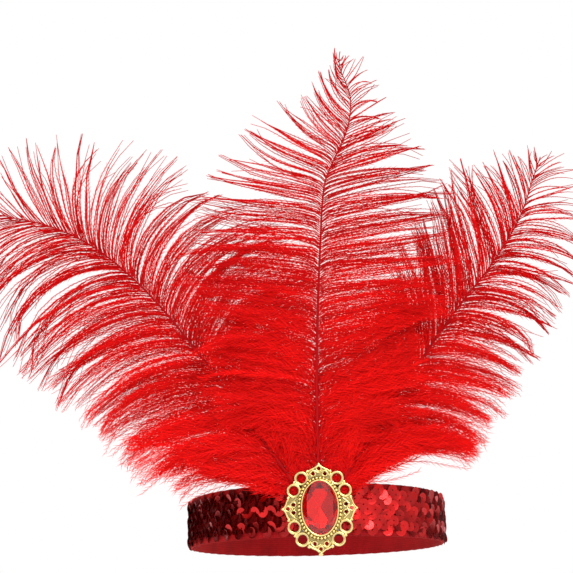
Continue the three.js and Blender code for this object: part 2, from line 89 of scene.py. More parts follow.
# A plume's spine rows: the place as a share of its length, and the lean from upright towards +X in
# degrees. A vane's rows: the barb's root as a share of the plume's length, its heading where it has
# left the quill and at its tip, its length as a share of the plume's barb length, and how far its tip
# stands to the front or to the back as a share of the spread.
PLUMES = {
    "plume_left": {
        "length": 276 * MM,
        "aside": -4.5 * MM,
        "set_back": 12 * MM,
        "barb_length": 80 * MM,
        "seed": 11,
        "spine": (
            (0.0, -34), (0.3, -34.5), (0.4, -37), (0.5, -38), (0.62, -45),
            (0.71, -52), (0.79, -62), (0.86, -74), (0.92, -80), (1.0, -78),
        ),
        "right": (
            (0.012, -4, 20, 0.26, 0, 0.1),
            (0.1, 2, 40, 0.46, 0, 0.1),
            (0.16, 6, 44, 0.6, 0, 0.2),
            (0.3, 10, 70, 1.12, 0, 0.7),
            (0.5, 10, 80, 1.15, 0, 1),
            (0.65, 0, 64, 1.06, 0.3, 1),
            (0.72, -6, 36, 0.93, 0.6, 1),
            (0.8, -26, 2, 0.82, 1, 1),
            (0.9, -45, -34, 0.57, 1, 1),
            (0.985, -60, -58, 0.3, 0.6, 0.6),
        ),
        "left": (
            (0.015, -64, -82, 0.34, 0, 0.1),
            (0.05, -74, -88, 0.6, 0.1, 0.1),
            (0.09, -82, -95, 0.76, 0.2, 0.1),
            (0.13, -87, -104, 0.8, 0.5, 0),
            (0.2, -90, -122, 0.94, 0.8, 0.2),
            (0.3, -86, -128, 1.02, 1, 0.8),
            (0.45, -84, -150, 1.12, 1, 1),
            (0.6, -85, -165, 1.2, 1, 1),
            (0.73, -86, -175, 1.12, 1, 1),
            (0.86, -90, -175, 0.9, 1, 1),
            (0.985, -88, -124, 0.38, 0.6, 0.6),
        ),
    },
    "plume_center": {
        "length": 282 * MM,
        "aside": 0.0,
        "set_back": 0.0,
        "barb_length": 72 * MM,
        "seed": 23,
        "spine": (
            (0.0, -0.6), (0.24, 1), (0.3, 2.2), (0.4, 3), (0.5, 4), (0.62, 4), (0.68, 9), (0.715, 24),
            (0.78, 27), (0.83, 16), (0.88, 0), (0.915, -17), (0.945, -25), (0.968, -6), (1.0, 13),
        ),
        "right": (
            (0.012, 30, 52, 0.34, 0.2, 0),
            (0.09, 42, 80, 0.55, 0.4, 0),
            (0.16, 56, 114, 0.92, 0.6, 0),
            (0.26, 73, 66, 1.0, 1, 0),
            (0.37, 80, 80, 1.16, 1, 0.05),
            (0.49, 82, 90, 1.22, 1, 0.1),
            (0.6, 82, 92, 1.1, 1, 0.1),
            (0.7, 70, 88, 0.92, 1, 0.2),
            (0.78, 60, 82, 0.56, 1, 0.8),
            (0.86, 50, 80, 0.32, 1, 1),
            (0.92, 40, 74, 0.27, 0.8, 0.8),
            (0.985, 16, 32, 0.08, 0.4, 0.4),
        ),
        "left": (
            (0.012, -30, -52, 0.34, 0.2, 0),
            (0.09, -42, -80, 0.55, 0.4, 0),
            (0.16, -58, -112, 0.84, 0.6, 0),
            (0.26, -72, -88, 0.95, 1, 0),
            (0.37, -80, -90, 1.02, 1, 0.05),
            (0.49, -80, -92, 1.14, 1, 0.1),
            (0.59, -80, -90, 1.12, 1, 0.1),
            (0.66, -76, -82, 1.0, 1, 0.2),
            (0.73, -70, -46, 0.74, 1, 0.6),
            (0.79, -66, -16, 0.6, 1, 1),
            (0.86, -60, -6, 0.44, 1, 1),
            (0.92, -46, 2, 0.29, 0.8, 0.8),
            (0.985, -12, 14, 0.07, 0.4, 0.4),
        ),
    },
    "plume_right": {
        "length": 248.5 * MM,
        "aside": 4.5 * MM,
        "set_back": 7 * MM,
        "barb_length": 73 * MM,
        "seed": 37,
        "spine": (
            (0.0, 30), (0.07, 31), (0.13, 36), (0.25, 33), (0.4, 37), (0.54, 37),
            (0.64, 42), (0.72, 36), (0.8, 33), (0.86, 24), (0.9, 19), (1.0, 22),
        ),
        "right": (
            (0.012, 50, 55, 0.3, 0.1, 0),
            (0.05, 60, 66, 0.6, 0.1, 0),
            (0.08, 68, 74, 0.78, 0.2, 0),
            (0.12, 75, 90, 0.86, 0.4, 0),
            (0.2, 82, 116, 0.84, 0.8, 0.3),
            (0.3, 84, 128, 0.84, 1, 0.8),
            (0.45, 85, 134, 0.85, 1, 1),
            (0.65, 84, 140, 0.76, 1, 1),
            (0.8, 76, 130, 0.7, 1, 1),
            (0.92, 58, 92, 0.44, 0.8, 0.8),
            (0.985, 34, 48, 0.14, 0.4, 0.4),
        ),
        "left": (
            (0.012, 0, -24, 0.3, 0, 0),
            (0.1, 6, -14, 0.44, 0, 0),
            (0.16, 2, -18, 0.6, 0, 0),
            (0.3, 5, -14, 0.92, 0, 0.1),
            (0.45, 5, -14, 1, 0, 0.6),
            (0.6, 0, -22, 1.04, 0, 1),
            (0.68, -4, -28, 0.95, 0.2, 1),
            (0.77, -6, -32, 0.76, 0.4, 1),
            (0.84, -6, -34, 0.57, 0.7, 0.9),
            (0.9, -4, -26, 0.36, 0.8, 0.8),
            (0.985, 2, -10, 0.12, 0.4, 0.4),
        ),
    },
}
VANE_COLUMNS = ("at", "leave", "end", "reach", "fore", "aft")
QUILL_LINE = 103.0 * MM
STAND_BACK = (0.1, 0.3)
CURL_FORWARD = 16 * MM


def length(name, description, default):
    return FloatProperty(name=name, description=description, default=default, unit="LENGTH", precision=5)


def angle(name, description, degrees):
    return FloatProperty(
        name=name, description=description, default=math.radians(degrees), subtype="ANGLE"
    )


def color(name, description, default):
    return FloatVectorProperty(
        name=name, description=description, default=default, size=3, min=0, max=1, subtype="COLOR"
    )


class HeadbandElastic(PropertyGroup):
    """Sizes and colour of the elastic band."""

    wall: length("Wall", "Thickness of the elastic", 1.2 * MM)
    rib_pitch: length("Rib pitch", "Height of one woven rib", 2.5 * MM)
    rib_depth: length("Rib depth", "Depth of the furrow between two ribs", 0.16 * MM)
    ruffle: length("Ruffle", "How far the gathered edges rise and fall", 0.3 * MM)
    steps: IntProperty(name="Steps", description="Sections round the loop", default=168, min=24)
    tint: color("Colour", "Dyed elastic", (0.31, 0.004, 0.006))


class HeadbandSequins(PropertyGroup):
    """Sizes and colour of the sequin rows."""

    diameter: length("Diameter", "Outer diameter of a sequin", 6.6 * MM)
    hole: length("Hole", "Diameter of the sewing hole", 0.9 * MM)
    foil: length("Foil", "Thickness of a sequin", 0.16 * MM)
    cup: length("Cup", "How far the rim stands in front of the hole", 0.18 * MM)
    wave: length("Wave length", "Length of one zigzag", 10 * MM)
    rise: length("Rise", "How far the zigzag goes to each side", 2.9 * MM)
    per_wave: IntProperty(name="Per wave", description="Sequins in one zigzag", default=4, min=1)
    tilt: angle("Tilt", "How far each sequin lies back on the next", 13)
    scatter: angle("Scatter", "Uneven tilt of the sequins", 12)
    tint: color("Colour", "Foil colour", (0.46, 0.008, 0.008))


class HeadbandBrooch(PropertyGroup):
    """Sizes and colours of the brooch."""

    clearance: length("Clearance", "Gap round the stone", 0.3 * MM)
    bezel_wall: length("Bezel wall", "Thickness of the bezel", 0.45 * MM)
    floor: length("Floor", "Thickness of the cup under the stone", 0.7 * MM)
    bead: length("Bead diameter", "Beads round the bezel", 1.7 * MM)
    bead_pitch: length("Bead pitch", "From one bead to the next", 2 * MM)
    loop_radius: length("Loop radius", "Middle radius of the border's loops", 3.3 * MM)
    wire: length("Wire radius", "Half the thickness of the border's wire", 0.8 * MM)
    eye: length("Eye radius", "Small eyes cut through the pointed ends", 0.95 * MM)
    stud: length("Stud radius", "Balls in the notches of the border", 1.1 * MM)
    gold: color("Gold", "Pale gold plating", (0.82, 0.66, 0.27))
    # Painted shade: the dark colour that the gold takes in its recesses
    recess_painted_shade: color("Recesses", "Aged gold in the recesses", (0.17, 0.105, 0.03))
    glass: color("Glass", "Red glass", (1.0, 0.02, 0.015))
    foil: color("Foil", "Foil behind the stone", (0.84, 0.05, 0.02))
    # Darkened below the steel's own colour as painted shade, for the bar sits in shade behind the setting
    painted_shade_steel: color("Steel", "Fastening bar", (0.24, 0.20, 0.18))


class HeadbandPlumes(PropertyGroup):
    """Sizes and colours of the plumes."""

    barb_pitch: length("Barb pitch", "From one barb to the next along the quill", 1.28 * MM)
    barb_radius: length("Barb radius", "Half the thickness of a barb at its root", 0.175 * MM)
    barbule_pitch: length("Barbule pitch", "From one barbule to the next", 1.53 * MM)
    barbule_length: length("Barbule length", "Longest barbules", 8 * MM)
    barbule_width: length("Barbule width", "Half the width of a barbule at its root", 0.23 * MM)
    barbule_angle: angle("Barbule angle", "From the barb to its barbules", 24)
    strays: FloatProperty(
        name="Strays", description="Share of the strands that cling to no others", default=0.17
    )
    clump_low: length("Narrowest clump", "Width at the quill of the barbs that cling together", 2.4 * MM)
    clump_high: length("Widest clump", "Width at the quill of the barbs that cling together", 8 * MM)
    spread: length("Spread", "How far the barb tips stand to the front or back", 14 * MM)
    quill_root: length("Quill root", "Radius of the quill at the brooch", 1.4 * MM)
    quill_tip: length("Quill tip", "Radius of the quill at its tip", 0.28 * MM)
    quill_tint: color("Quill colour", "Dyed quill", (0.25, 0.001, 0.003))
    barb_tint: color("Barb colour", "Dyed barbs", (0.52, 0.002, 0.004))
    fluff_tint: color("Fluff colour", "Dyed barbules", (0.84, 0.007, 0.005))


class HeadbandStage(PropertyGroup):
    """Floor, lights and camera."""

    floor_height: length("Floor height", "Height of the floor", -200 * MM)
    floor_side: length("Floor side", "Side of the floor", 8.0)
    camera_place: FloatVectorProperty(
        name="Camera place", description="Place of the camera", size=3, subtype="TRANSLATION",
        default=(-16.05 * MM, -739.27 * MM, -60.11 * MM),
    )
    camera_pitch: angle("Camera pitch", "How far the camera looks up", 16.7)
    camera_roll: angle("Camera roll", "Turn about the line of sight", -1.2)
    lens: FloatProperty(name="Lens", description="Focal length in millimetres", default=70.05)
    key_power: FloatProperty(name="Key light", description="Power of the main soft light", default=20)
    fill_power: FloatProperty(name="Fill light", description="Power of the second soft light", default=6)
    pale: color("Floor colour", "Pale floor", (0.86, 0.85, 0.84))


# Small helpers for shapes


def table_value(rows, column, at):
    """A column of a table of rows, read between the rows."""
    return float(np.interp(at, [row[0] for row in rows], [row[column] for row in rows]))


def smooth(value, low, high):
    share = np.clip((value - low) / (high - low), 0, 1)
    return share * share * (3 - 2 * share)


def new_object(name, data):
    piece = bpy.data.objects.new(name, data)
    bpy.context.scene.collection.objects.link(piece)
    return piece


def settle(piece, slot, *nodes):
    """The finished piece rides on the body, and the nodes that it rebuilds are hidden. The slot is not used.
    """
    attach(piece, BODY)
    if nodes:
        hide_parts(*nodes)
    return piece


def join_parts(parts):
    """Points and faces of several closed shells in one list each."""
    points, faces = [], []
    for part_points, part_faces in parts:
        start = len(points)
        points.extend(part_points)
        faces.extend([start + corner for corner in face] for face in part_faces)
    return points, faces


def solid_mesh(name, points, faces, smooth_faces=True):
    """A mesh whose faces point outwards."""
    mesh = bpy.data.meshes.new(name)
    mesh.from_pydata([tuple(point) for point in points], [], faces)
    shape = bmesh.new()
    shape.from_mesh(mesh)
    bmesh.ops.recalc_face_normals(shape, faces=shape.faces)
    shape.to_mesh(mesh)
    shape.free()
    mesh.polygons.foreach_set("use_smooth", [smooth_faces] * len(mesh.polygons))
    mesh.update()
    return mesh


def circle(center, radius, sides, stretch=1.0):
    """Points round a circle, or round an oval that is stretched upwards."""
    turns = [math.tau * step / sides for step in range(sides)]
    return [
        (center[0] + radius * math.cos(turn), center[1] + stretch * radius * math.sin(turn)) for turn in turns
    ]


def loft(sections, ring=False):
    """A skin over sections of equal point count, as a ring or with its ends closed."""
    count = len(sections[0])
    points = [point for section in sections for point in section]
    faces = []
    spans = len(sections) if ring else len(sections) - 1
    for row in range(spans):
        here, there = row * count, (row + 1) % len(sections) * count
        for side in range(count):
            after = (side + 1) % count
            faces.append((here + side, here + after, there + after, there + side))
    if not ring:
        faces.append(tuple(range(count)))
        faces.append(tuple(range(len(points) - count, len(points))))
    return points, faces


def revolve(profile, sides, half_width=0.0, half_height=0.0):
    """Turns a closed profile of (out, height) points about Z, along an oval when it is given one."""
    sections = []
    for step in range(sides):
        turn = math.tau * step / sides
        across, up = math.cos(turn), math.sin(turn)
        sections.append(
            [Vector(((half_width + out) * across, (half_height + out) * up, high)) for out, high in profile]
        )
    return loft(sections, ring=True)


def moved(part, matrix):
    points, faces = part
    return [matrix @ Vector(point) for point in points], faces


def ball(center, radius, detail=2):
    shape = bmesh.new()
    bmesh.ops.create_icosphere(shape, subdivisions=detail, radius=radius)
    points = [Vector(center) + vert.co for vert in shape.verts]
    faces = [[vert.index for vert in face.verts] for face in shape.faces]
    shape.free()
    return points, faces


def tube(path, radii, sides=8, squash=1.0):
    """A round wire along a path that lies flat, with rounded ends; squash flattens it in height."""
    sections = []
    last = len(path) - 1
    for step, (spot, radius) in enumerate(zip(path, radii)):
        along = (path[min(step + 1, last)] - path[max(step - 1, 0)]).normalized()
        side = Vector((along.y, -along.x, 0)).normalized()
        section = []
        for corner in range(sides):
            turn = math.tau * corner / sides
            lift = Vector((0, 0, squash * radius * math.sin(turn)))
            section.append(spot + side * (radius * math.cos(turn)) + lift)
        sections.append(section)
    return loft(sections)


def spline(points, steps):
    """A smooth flat path through a few points."""
    knots = [points[0], *points, points[-1]]
    path = []
    for index in range(1, len(knots) - 2):
        before, start, end, after = knots[index - 1 : index + 3]
        for step in range(steps):
            t = step / steps
            path.append(
                0.5 * (
                    2 * start + (end - before) * t + (2 * before - 5 * start + 4 * end - after) * t**2
                    + (3 * start - before - 3 * end + after) * t**3
                )
            )
    path.append(points[-1])
    return path


# Small helpers for node trees

SOCKET_TYPES = {int: "Int", float: "Float", tuple: "Color"}


def find_socket(sockets, key):
    if isinstance(key, int):
        return sockets[key]
    return next(socket for socket in sockets if key in (socket.identifier, socket.name) and socket.enabled)


def fill_socket(tree, socket, value):
    """Links the source or the list of sources that is given, or sets a plain value."""
    for source in value if isinstance(value, list) else [value]:
        if isinstance(source, bpy.types.NodeSocket):
            tree.links.new(source, socket)
        else:
            socket.default_value = source


def feed(tree, node, **values):
    """Fills a node's inputs by name, with underscores for the spaces."""
    for label, value in values.items():
        fill_socket(tree, node.inputs[label.replace("_", " ")], value)


def add_node(tree, kind, inputs=None, **settings):
    """Adds a node, sets its options, and links or fills its inputs."""
    node = tree.nodes.new(kind)
    for option, value in settings.items():
        setattr(node, option, value)
    for key, value in (inputs or {}).items():
        fill_socket(tree, find_socket(node.inputs, key), value)
    return node


def node_out(tree, kind, inputs=None, output=0, **settings):
    """One output of a new node."""
    return find_socket(add_node(tree, kind, inputs, **settings).outputs, output)


def math_node(tree, operation, *values):
    return node_out(tree, "ShaderNodeMath", dict(enumerate(values)), operation=operation)


def vector_node(tree, operation, *vectors):
    return node_out(tree, "ShaderNodeVectorMath", dict(enumerate(vectors)), operation=operation)


def scaled(tree, vector, level):
    return node_out(tree, "ShaderNodeVectorMath", {0: vector, "Scale": level}, operation="SCALE")


def remap(tree, value, low, high, least=0.0, most=1.0):
    """The way of a value from low to high, as a way from least to most."""
    return node_out(
        tree, "ShaderNodeMapRange",
        {"Value": value, "From Min": low, "From Max": high, "To Min": least, "To Max": most},
    )


def mix_color(tree, share, first, second):
    return node_out(
        tree, "ShaderNodeMix", {"Factor_Float": share, "A_Color": first, "B_Color": second}, "Result_Color",
        data_type="RGBA",
    )


def mix_value(tree, share, first, second):
    return node_out(
        tree, "ShaderNodeMix", {"Factor_Float": share, "A_Float": first, "B_Float": second},
        data_type="FLOAT",
    )


def group_tree(name, kind, inputs, outputs):
    """A node group whose named inputs give a default or a socket type, and its outputs a type."""
    tree = bpy.data.node_groups.new(name, kind)
    for label, given in inputs.items():
        socket_type = given if isinstance(given, str) else SOCKET_TYPES[type(given)]
        socket = tree.interface.new_socket(label, in_out="INPUT", socket_type="NodeSocket" + socket_type)
        if given is not socket_type:
            socket.default_value = given
    for label, socket_type in outputs.items():
        tree.interface.new_socket(label, in_out="OUTPUT", socket_type="NodeSocket" + socket_type)
    return tree, tree.nodes.new("NodeGroupInput").outputs, tree.nodes.new("NodeGroupOutput")


def growth_tree(name, inputs):
    """A geometry tree that grows something on a guide, in a material."""
    return group_tree(
        name, "GeometryNodeTree", {"Geometry": "Geometry", **inputs, "Material": "Material"},
        {"Geometry": "Geometry"},
    )


def finish_growth(tree, geometry, material, result):
    """Makes every instance real, gives it the material, and hands it out."""
    real = node_out(tree, "GeometryNodeRealizeInstances", {"Geometry": geometry})
    done = node_out(tree, "GeometryNodeSetMaterial", {"Geometry": real, "Material": material})
    feed(tree, result, Geometry=done)
    return tree


def grow(name, guide, tree, values):
    """Runs a geometry tree on a guide mesh and keeps the result as a plain object."""
    seedling = new_object(name + "_guide", guide)
    modifier = seedling.modifiers.new(tree.name, "NODES")
    modifier.node_group = tree
    for item in tree.interface.items_tree:
        if item.item_type == "SOCKET" and item.in_out == "INPUT" and item.name in values:
            modifier[item.identifier] = values[item.name]
    depsgraph = bpy.context.evaluated_depsgraph_get()
    grown = seedling.evaluated_get(depsgraph)
    mesh = bpy.data.meshes.new_from_object(grown, preserve_all_data_layers=True, depsgraph=depsgraph)
    mesh.name = name
    seedling.modifiers.clear()
    bpy.data.objects.remove(seedling)
    if not mesh.polygons:
        raise RuntimeError(f"{name} has no faces")
    return new_object(name, mesh)


def random_value(tree, low, high, seed, step=0):
    """A random number for each point; the step tells draws of one seed apart."""
    if step:
        seed = math_node(tree, "ADD", seed, float(step))
    inputs = {"Min_001": low, "Max_001": high, "Seed": seed}
    return node_out(tree, "FunctionNodeRandomValue", inputs, "Value_001", data_type="FLOAT")


def attribute(tree, name, kind="FLOAT"):
    return node_out(tree, "GeometryNodeInputNamedAttribute", {"Name": name}, data_type=kind)


def store_number(tree, geometry, name, value):
    return node_out(
        tree, "GeometryNodeStoreNamedAttribute", {"Geometry": geometry, "Name": name, "Value": value},
        data_type="FLOAT", domain="POINT",
    )


def curve_of(tree, given):
    return node_out(tree, "GeometryNodeMeshToCurve", {"Mesh": given["Geometry"]})


def spaced_evenly(tree, curve, **spacing):
    """Even points along a curve, by Count or by Length."""
    ((label, value),) = spacing.items()
    return node_out(
        tree, "GeometryNodeResampleCurve", {"Curve": curve, label: value}, mode=label.upper()
    )


def swept(tree, curve, sides):
    """A smooth closed tube along each curve, as thick as its own attribute says."""
    section = node_out(tree, "GeometryNodeCurvePrimitiveCircle", {"Resolution": sides, "Radius": 1.0})
    tubes = node_out(
        tree, "GeometryNodeCurveToMesh",
        {"Curve": curve, "Profile Curve": section, "Scale": attribute(tree, "thickness"), "Fill Caps": True},
    )
    return node_out(tree, "GeometryNodeSetShadeSmooth", {"Geometry": tubes})


def guide_mesh(name, lines, closed=False, **attributes):
    """Edges along each line, with one value or vector for each point in every attribute."""
    points = np.concatenate(lines)
    edges, start = [], 0
    for line in lines:
        index = np.arange(start, start + len(line))
        pairs = np.stack([index, np.roll(index, -1)], axis=1)
        edges.append(pairs if closed else pairs[:-1])
        start += len(line)
    mesh = bpy.data.meshes.new(name + "_guide")
    mesh.from_pydata(points.tolist(), np.concatenate(edges).tolist(), [])
    for label, values in attributes.items():
        values = np.concatenate(values)
        kind, field = ("FLOAT", "value") if values.ndim == 1 else ("FLOAT_VECTOR", "vector")
        layer = mesh.attributes.new(label, kind, "POINT")
        layer.data.foreach_set(field, values.astype(np.float32).ravel())
    return mesh


# Materials

BROAD_LOW, BROAD_HIGH = 0.3, 0.7
GRAIN_FINENESS = 9.0

# Levels of a strand's colour along it from its root, and by its own shade
ROOT_LEVELS = (0.0, 0.22, 0.86, 1.0)
SHADE_LEVELS = (0.0, 1.0, 0.78, 1.12)


def mottle_group():
    """Uneven tone, as a value that wanders between two limits, and a fine grain for bump."""
    tree, given, result = group_tree(
        "Mottle", "ShaderNodeTree", {"Vector": "Vector", "Scale": 200.0, "Low": 0.0, "High": 1.0},
        {"Value": "Float", "Grain": "Float"},
    )
    finer = math_node(tree, "MULTIPLY", given["Scale"], GRAIN_FINENESS)
    broad, fine = (
        node_out(tree, "ShaderNodeTexNoise", {"Vector": given["Vector"], "Scale": scale, "Detail": detail})
        for scale, detail in ((given["Scale"], 3.0), (finer, 2.0))
    )
    feed(
        tree, result, Value=remap(tree, broad, BROAD_LOW, BROAD_HIGH, given["Low"], given["High"]), Grain=fine
    )
    return tree


def strand_group():
    """Colour of dyed strands: darker at the root, varied from clump to clump."""
    tree, given, result = group_tree(
        "DyedStrand", "ShaderNodeTree",
        {
            "Core": (0.4, 0.0, 0.01, 1.0), "Fluff": (0.8, 0.01, 0.01, 1.0),
            "Tone": 0.0, "Share": 0.0, "Shade": 0.5,
        },
        {"Color": "Color", "Roughness": "Float"},
    )
    root = remap(tree, given["Share"], *ROOT_LEVELS)
    clump = remap(tree, given["Shade"], *SHADE_LEVELS)
    dyed = mix_color(tree, given["Tone"], given["Core"], given["Fluff"])
    feed(
        tree, result, Color=scaled(tree, dyed, math_node(tree, "MULTIPLY", root, clump)),
        Roughness=math_node(tree, "MULTIPLY_ADD", given["Shade"], 0.2, 0.42),
    )
    return tree


def shared_group(tree, name, maker, inputs):
    """Outputs of a group that is built once and placed in a material with its own values."""
    group = bpy.data.node_groups.get(name) or maker()
    return add_node(tree, "ShaderNodeGroup", inputs, node_tree=group).outputs


def new_material(name, **constants):
    """A material with one Principled shader, whose plain values are given by name."""
    material = bpy.data.materials.new(name)
    material.use_nodes = True
    tree = material.node_tree
    shader = tree.nodes["Principled BSDF"]
    feed(tree, shader, **constants)
    return material, tree, shader


def object_space(tree):
    return node_out(tree, "ShaderNodeTexCoord", output="Object")


def read(tree, name):
    """A number that the mesh carries."""
    return node_out(tree, "ShaderNodeAttribute", output="Fac", attribute_name=name)


def mottle(tree, scale, low, high, spot=None):
    inputs = {"Vector": spot or object_space(tree), "Scale": scale, "Low": low, "High": high}
    return shared_group(tree, "Mottle", mottle_group, inputs)


def opaque(tint, level=1.0):
    return (*(level * part for part in tint), 1.0)


def bump(tree, shader, height, distance):
    feed(tree, shader, Normal=node_out(tree, "ShaderNodeBump", {"Height": height, "Distance": distance}))


def dye_strands(tree, shader, settings, core, **values):
    inputs = {"Core": opaque(core), "Fluff": opaque(settings.fluff_tint), **values}
    strand = shared_group(tree, "DyedStrand", strand_group, inputs)
    feed(tree, shader, Base_Color=strand["Color"], Roughness=strand["Roughness"])


def feather_material(settings):
    material, tree, shader = new_material(
        "DyedFeather", Sheen_Weight=0.05, Sheen_Roughness=0.4, Sheen_Tint=(1.0, 0.06, 0.04, 1.0),
        Specular_IOR_Level=0.04,
    )
    carried = {label.title(): read(tree, label) for label in ("tone", "share", "shade")}
    dye_strands(tree, shader, settings, settings.barb_tint, **carried)
    return material


def quill_material(settings):
    """Horn of the quill, dyed, with long faint furrows."""
    material, tree, shader = new_material("DyedQuill", Specular_IOR_Level=0.06)
    stretch = {"Vector": object_space(tree), "Scale": (900.0, 900.0, 60.0)}
    furrows = node_out(
        tree, "ShaderNodeTexNoise",
        {"Vector": node_out(tree, "ShaderNodeMapping", stretch), "Scale": 1.0, "Detail": 3.0},
    )
    share = math_node(tree, "ADD", read(tree, "share"), 0.2)
    dye_strands(tree, shader, settings, settings.quill_tint, Tone=0.15, Share=share, Shade=furrows)
    bump(tree, shader, furrows, 0.05 * MM)
    return material


def elastic_material(settings):
    """Woven elastic: fine cross threads over the ribs, with a little uneven dye."""
    material, tree, shader = new_material(
        "WovenElastic", Sheen_Weight=0.12, Sheen_Roughness=0.5, Sheen_Tint=(1.0, 0.12, 0.08, 1.0),
        Specular_IOR_Level=0.1,
    )
    uv = node_out(tree, "ShaderNodeUVMap", uv_map="UVMap")
    threads, cords = (
        node_out(
            tree, "ShaderNodeTexWave", {"Vector": uv, "Scale": scale, "Distortion": wander, "Detail": 1.0},
            "Fac", bands_direction=direction,
        )
        for scale, wander, direction in ((330.0, 0.6, "X"), (210.0, 0.4, "Y"))
    )
    weave = math_node(tree, "MULTIPLY", threads, math_node(tree, "MULTIPLY_ADD", cords, 0.5, 0.5))
    dye = mottle(tree, 60.0, 0.75, 1.1)["Value"]
    level = math_node(tree, "MULTIPLY", dye, math_node(tree, "MULTIPLY_ADD", weave, 0.6, 0.6))
    feed(
        tree, shader, Base_Color=scaled(tree, tuple(settings.tint), level),
        Roughness=math_node(tree, "MULTIPLY_ADD", weave, -0.2, 0.9),
    )
    bump(tree, shader, weave, 0.12 * MM)
    return material


def sequin_material(settings):
    """Metallic red foil under clear plastic, a little scratched."""
    material, tree, shader = new_material("SequinFoil", Metallic=0.9, Coat_Weight=0.12, Coat_Roughness=0.08)
    wear = mottle(tree, 260.0, 0.85, 1.08)
    tone = math_node(tree, "MULTIPLY_ADD", read(tree, "shade"), 0.5, 0.62)
    level = math_node(tree, "MULTIPLY", wear["Value"], tone)
    feed(
        tree, shader, Base_Color=scaled(tree, tuple(settings.tint), level),
        Roughness=math_node(tree, "MULTIPLY_ADD", wear["Grain"], 0.2, 0.14),
    )
    bump(tree, shader, wear["Grain"], 0.02 * MM)
    return material


def gold_material(name, settings, low, high):
    """Pale gold plating over a cast surface, with painted shade: full plating on what stands out, darkening
    towards the back plane in the recesses.
    """
    material, tree, shader = new_material(name, Metallic=1.0)
    cast = mottle(tree, 420.0, 0.0, 1.0)
    plating = mix_color(tree, cast["Value"], opaque(settings.gold, 0.84), opaque(settings.gold))
    # Painted shade: the colour fades from the plating into the recess colour towards the back plane
    depth = node_out(tree, "ShaderNodeSeparateXYZ", {0: object_space(tree)}, "Y")
    out_of_painted_shade = remap(tree, depth, BROOCH_BACK - low, BROOCH_BACK - high)
    feed(
        tree, shader, Base_Color=mix_color(tree, out_of_painted_shade, opaque(settings.recess_painted_shade), plating),
        Roughness=math_node(tree, "MULTIPLY_ADD", cast["Value"], -0.08, 0.24),
    )
    bump(tree, shader, cast["Grain"], 0.012 * MM)
    return material


def glass_material(settings):
    material, tree, shader = new_material(
        "RedGlass", Transmission_Weight=1.0, IOR=1.52, Base_Color=opaque(settings.glass)
    )
    feed(tree, shader, Roughness=mottle(tree, 90.0, 0.01, 0.05)["Value"])
    return material


def foil_material(settings):
    """The mirror film behind the stone, whose facets take different levels of painted reflection."""
    material, tree, shader = new_material("StoneFoil", Metallic=0.84, Roughness=0.12)
    # Painted reflection: each facet's own level of light and shade darkens the foil
    level = math_node(tree, "MULTIPLY", read(tree, "facet"), mottle(tree, 150.0, 0.92, 1.0)["Value"])
    feed(tree, shader, Base_Color=scaled(tree, tuple(settings.foil), level))
    return material


def steel_material(settings):
    """Drawn steel with fine lengthwise scratches, its colour darkened as painted shade."""
    material, tree, shader = new_material("DrawnSteel", Metallic=1.0)
    along = node_out(
        tree, "ShaderNodeMapping", {"Vector": object_space(tree), "Scale": (0.05, 1.0, 1.0)}
    )
    wear = mottle(tree, 900.0, 0.22, 0.5, along)
    drawn = mix_color(tree, wear["Grain"], opaque(settings.painted_shade_steel, 0.8), opaque(settings.painted_shade_steel))
    feed(tree, shader, Base_Color=drawn, Roughness=wear["Value"])
    return material


def floor_material(settings):
    material, tree, shader = new_material("PaleFloor", Roughness=0.7)
    tone = mottle(tree, 4.0, 0.97, 1.0)["Value"]
    feed(tree, shader, Base_Color=scaled(tree, tuple(settings.pale), tone))
    return material


# The elastic band and the paths of the rows on it

LOOP_SAMPLES = 1440
PATH_STEPS = 8

# Where a rib's flat top starts and ends, and the chamfer of the cut edge as shares of half the wall
RIB_TOP = (0.3, 0.7)
EDGE_CHAMFER = (0.7, 0.3)
RUFFLE_NARROWNESS = 6


def head_loop():
    """Half width and half depth of the inner face, and angles from its front with the way to each."""
    wall = bpy.context.scene.headband_elastic.wall
    half_width, half_depth = BAND_HIGH.x - wall, BAND_HIGH.y - wall
    turns = np.linspace(-math.pi / 2, 1.5 * math.pi, LOOP_SAMPLES + 1)
    spots = np.stack([half_width * np.cos(turns), half_depth * np.sin(turns)], axis=1)
    walked = np.concatenate([[0], np.cumsum(np.linalg.norm(np.diff(spots, axis=0), axis=1))])
    return half_width, half_depth, turns, walked


def loop_length():
    return head_loop()[3][-1]


def wave_count():
    """Whole zigzags round the loop."""
    return round(loop_length() / bpy.context.scene.headband_sequins.wave)


def loop_frames(shares):
    """Points on the inner face and directions outwards, for shares of its length from the front."""
    half_width, half_depth, turns, walked = head_loop()
    turn = np.interp(np.mod(shares, 1.0) * walked[-1], walked, turns)
    zero = np.zeros_like(turn)
    spot = np.stack([half_width * np.cos(turn), half_depth * np.sin(turn), zero], axis=1)
    along = np.stack([-half_width * np.sin(turn), half_depth * np.cos(turn), zero], axis=1)
    along /= np.linalg.norm(along, axis=1)[:, None]
    return spot, np.stack([along[:, 1], -along[:, 0], zero], axis=1)


def elastic_profile(settings):
    """Outline of the cut elastic: distance outside the inner face and height, ribbed on both faces."""
    ribs = round(BAND_HEIGHT / settings.rib_pitch)
    half = BAND_HEIGHT / 2
    edge = settings.wall / 2
    rib = (half - edge) * 2 / ribs
    face = []
    for step in range(ribs):
        low = -half + edge + step * rib
        face += [(settings.rib_depth, low), *((0.0, low + share * rib) for share in RIB_TOP)]
    face.append((settings.rib_depth, half - edge))
    outer = [(settings.wall - depth, high) for depth, high in face]
    aside, below = (share * edge for share in EDGE_CHAMFER)
    top = [(edge + aside, half - below), (edge, half), (edge - aside, half - below)]
    foot = [(out, -high) for out, high in reversed(top)]
    return outer + top + face[::-1] + foot


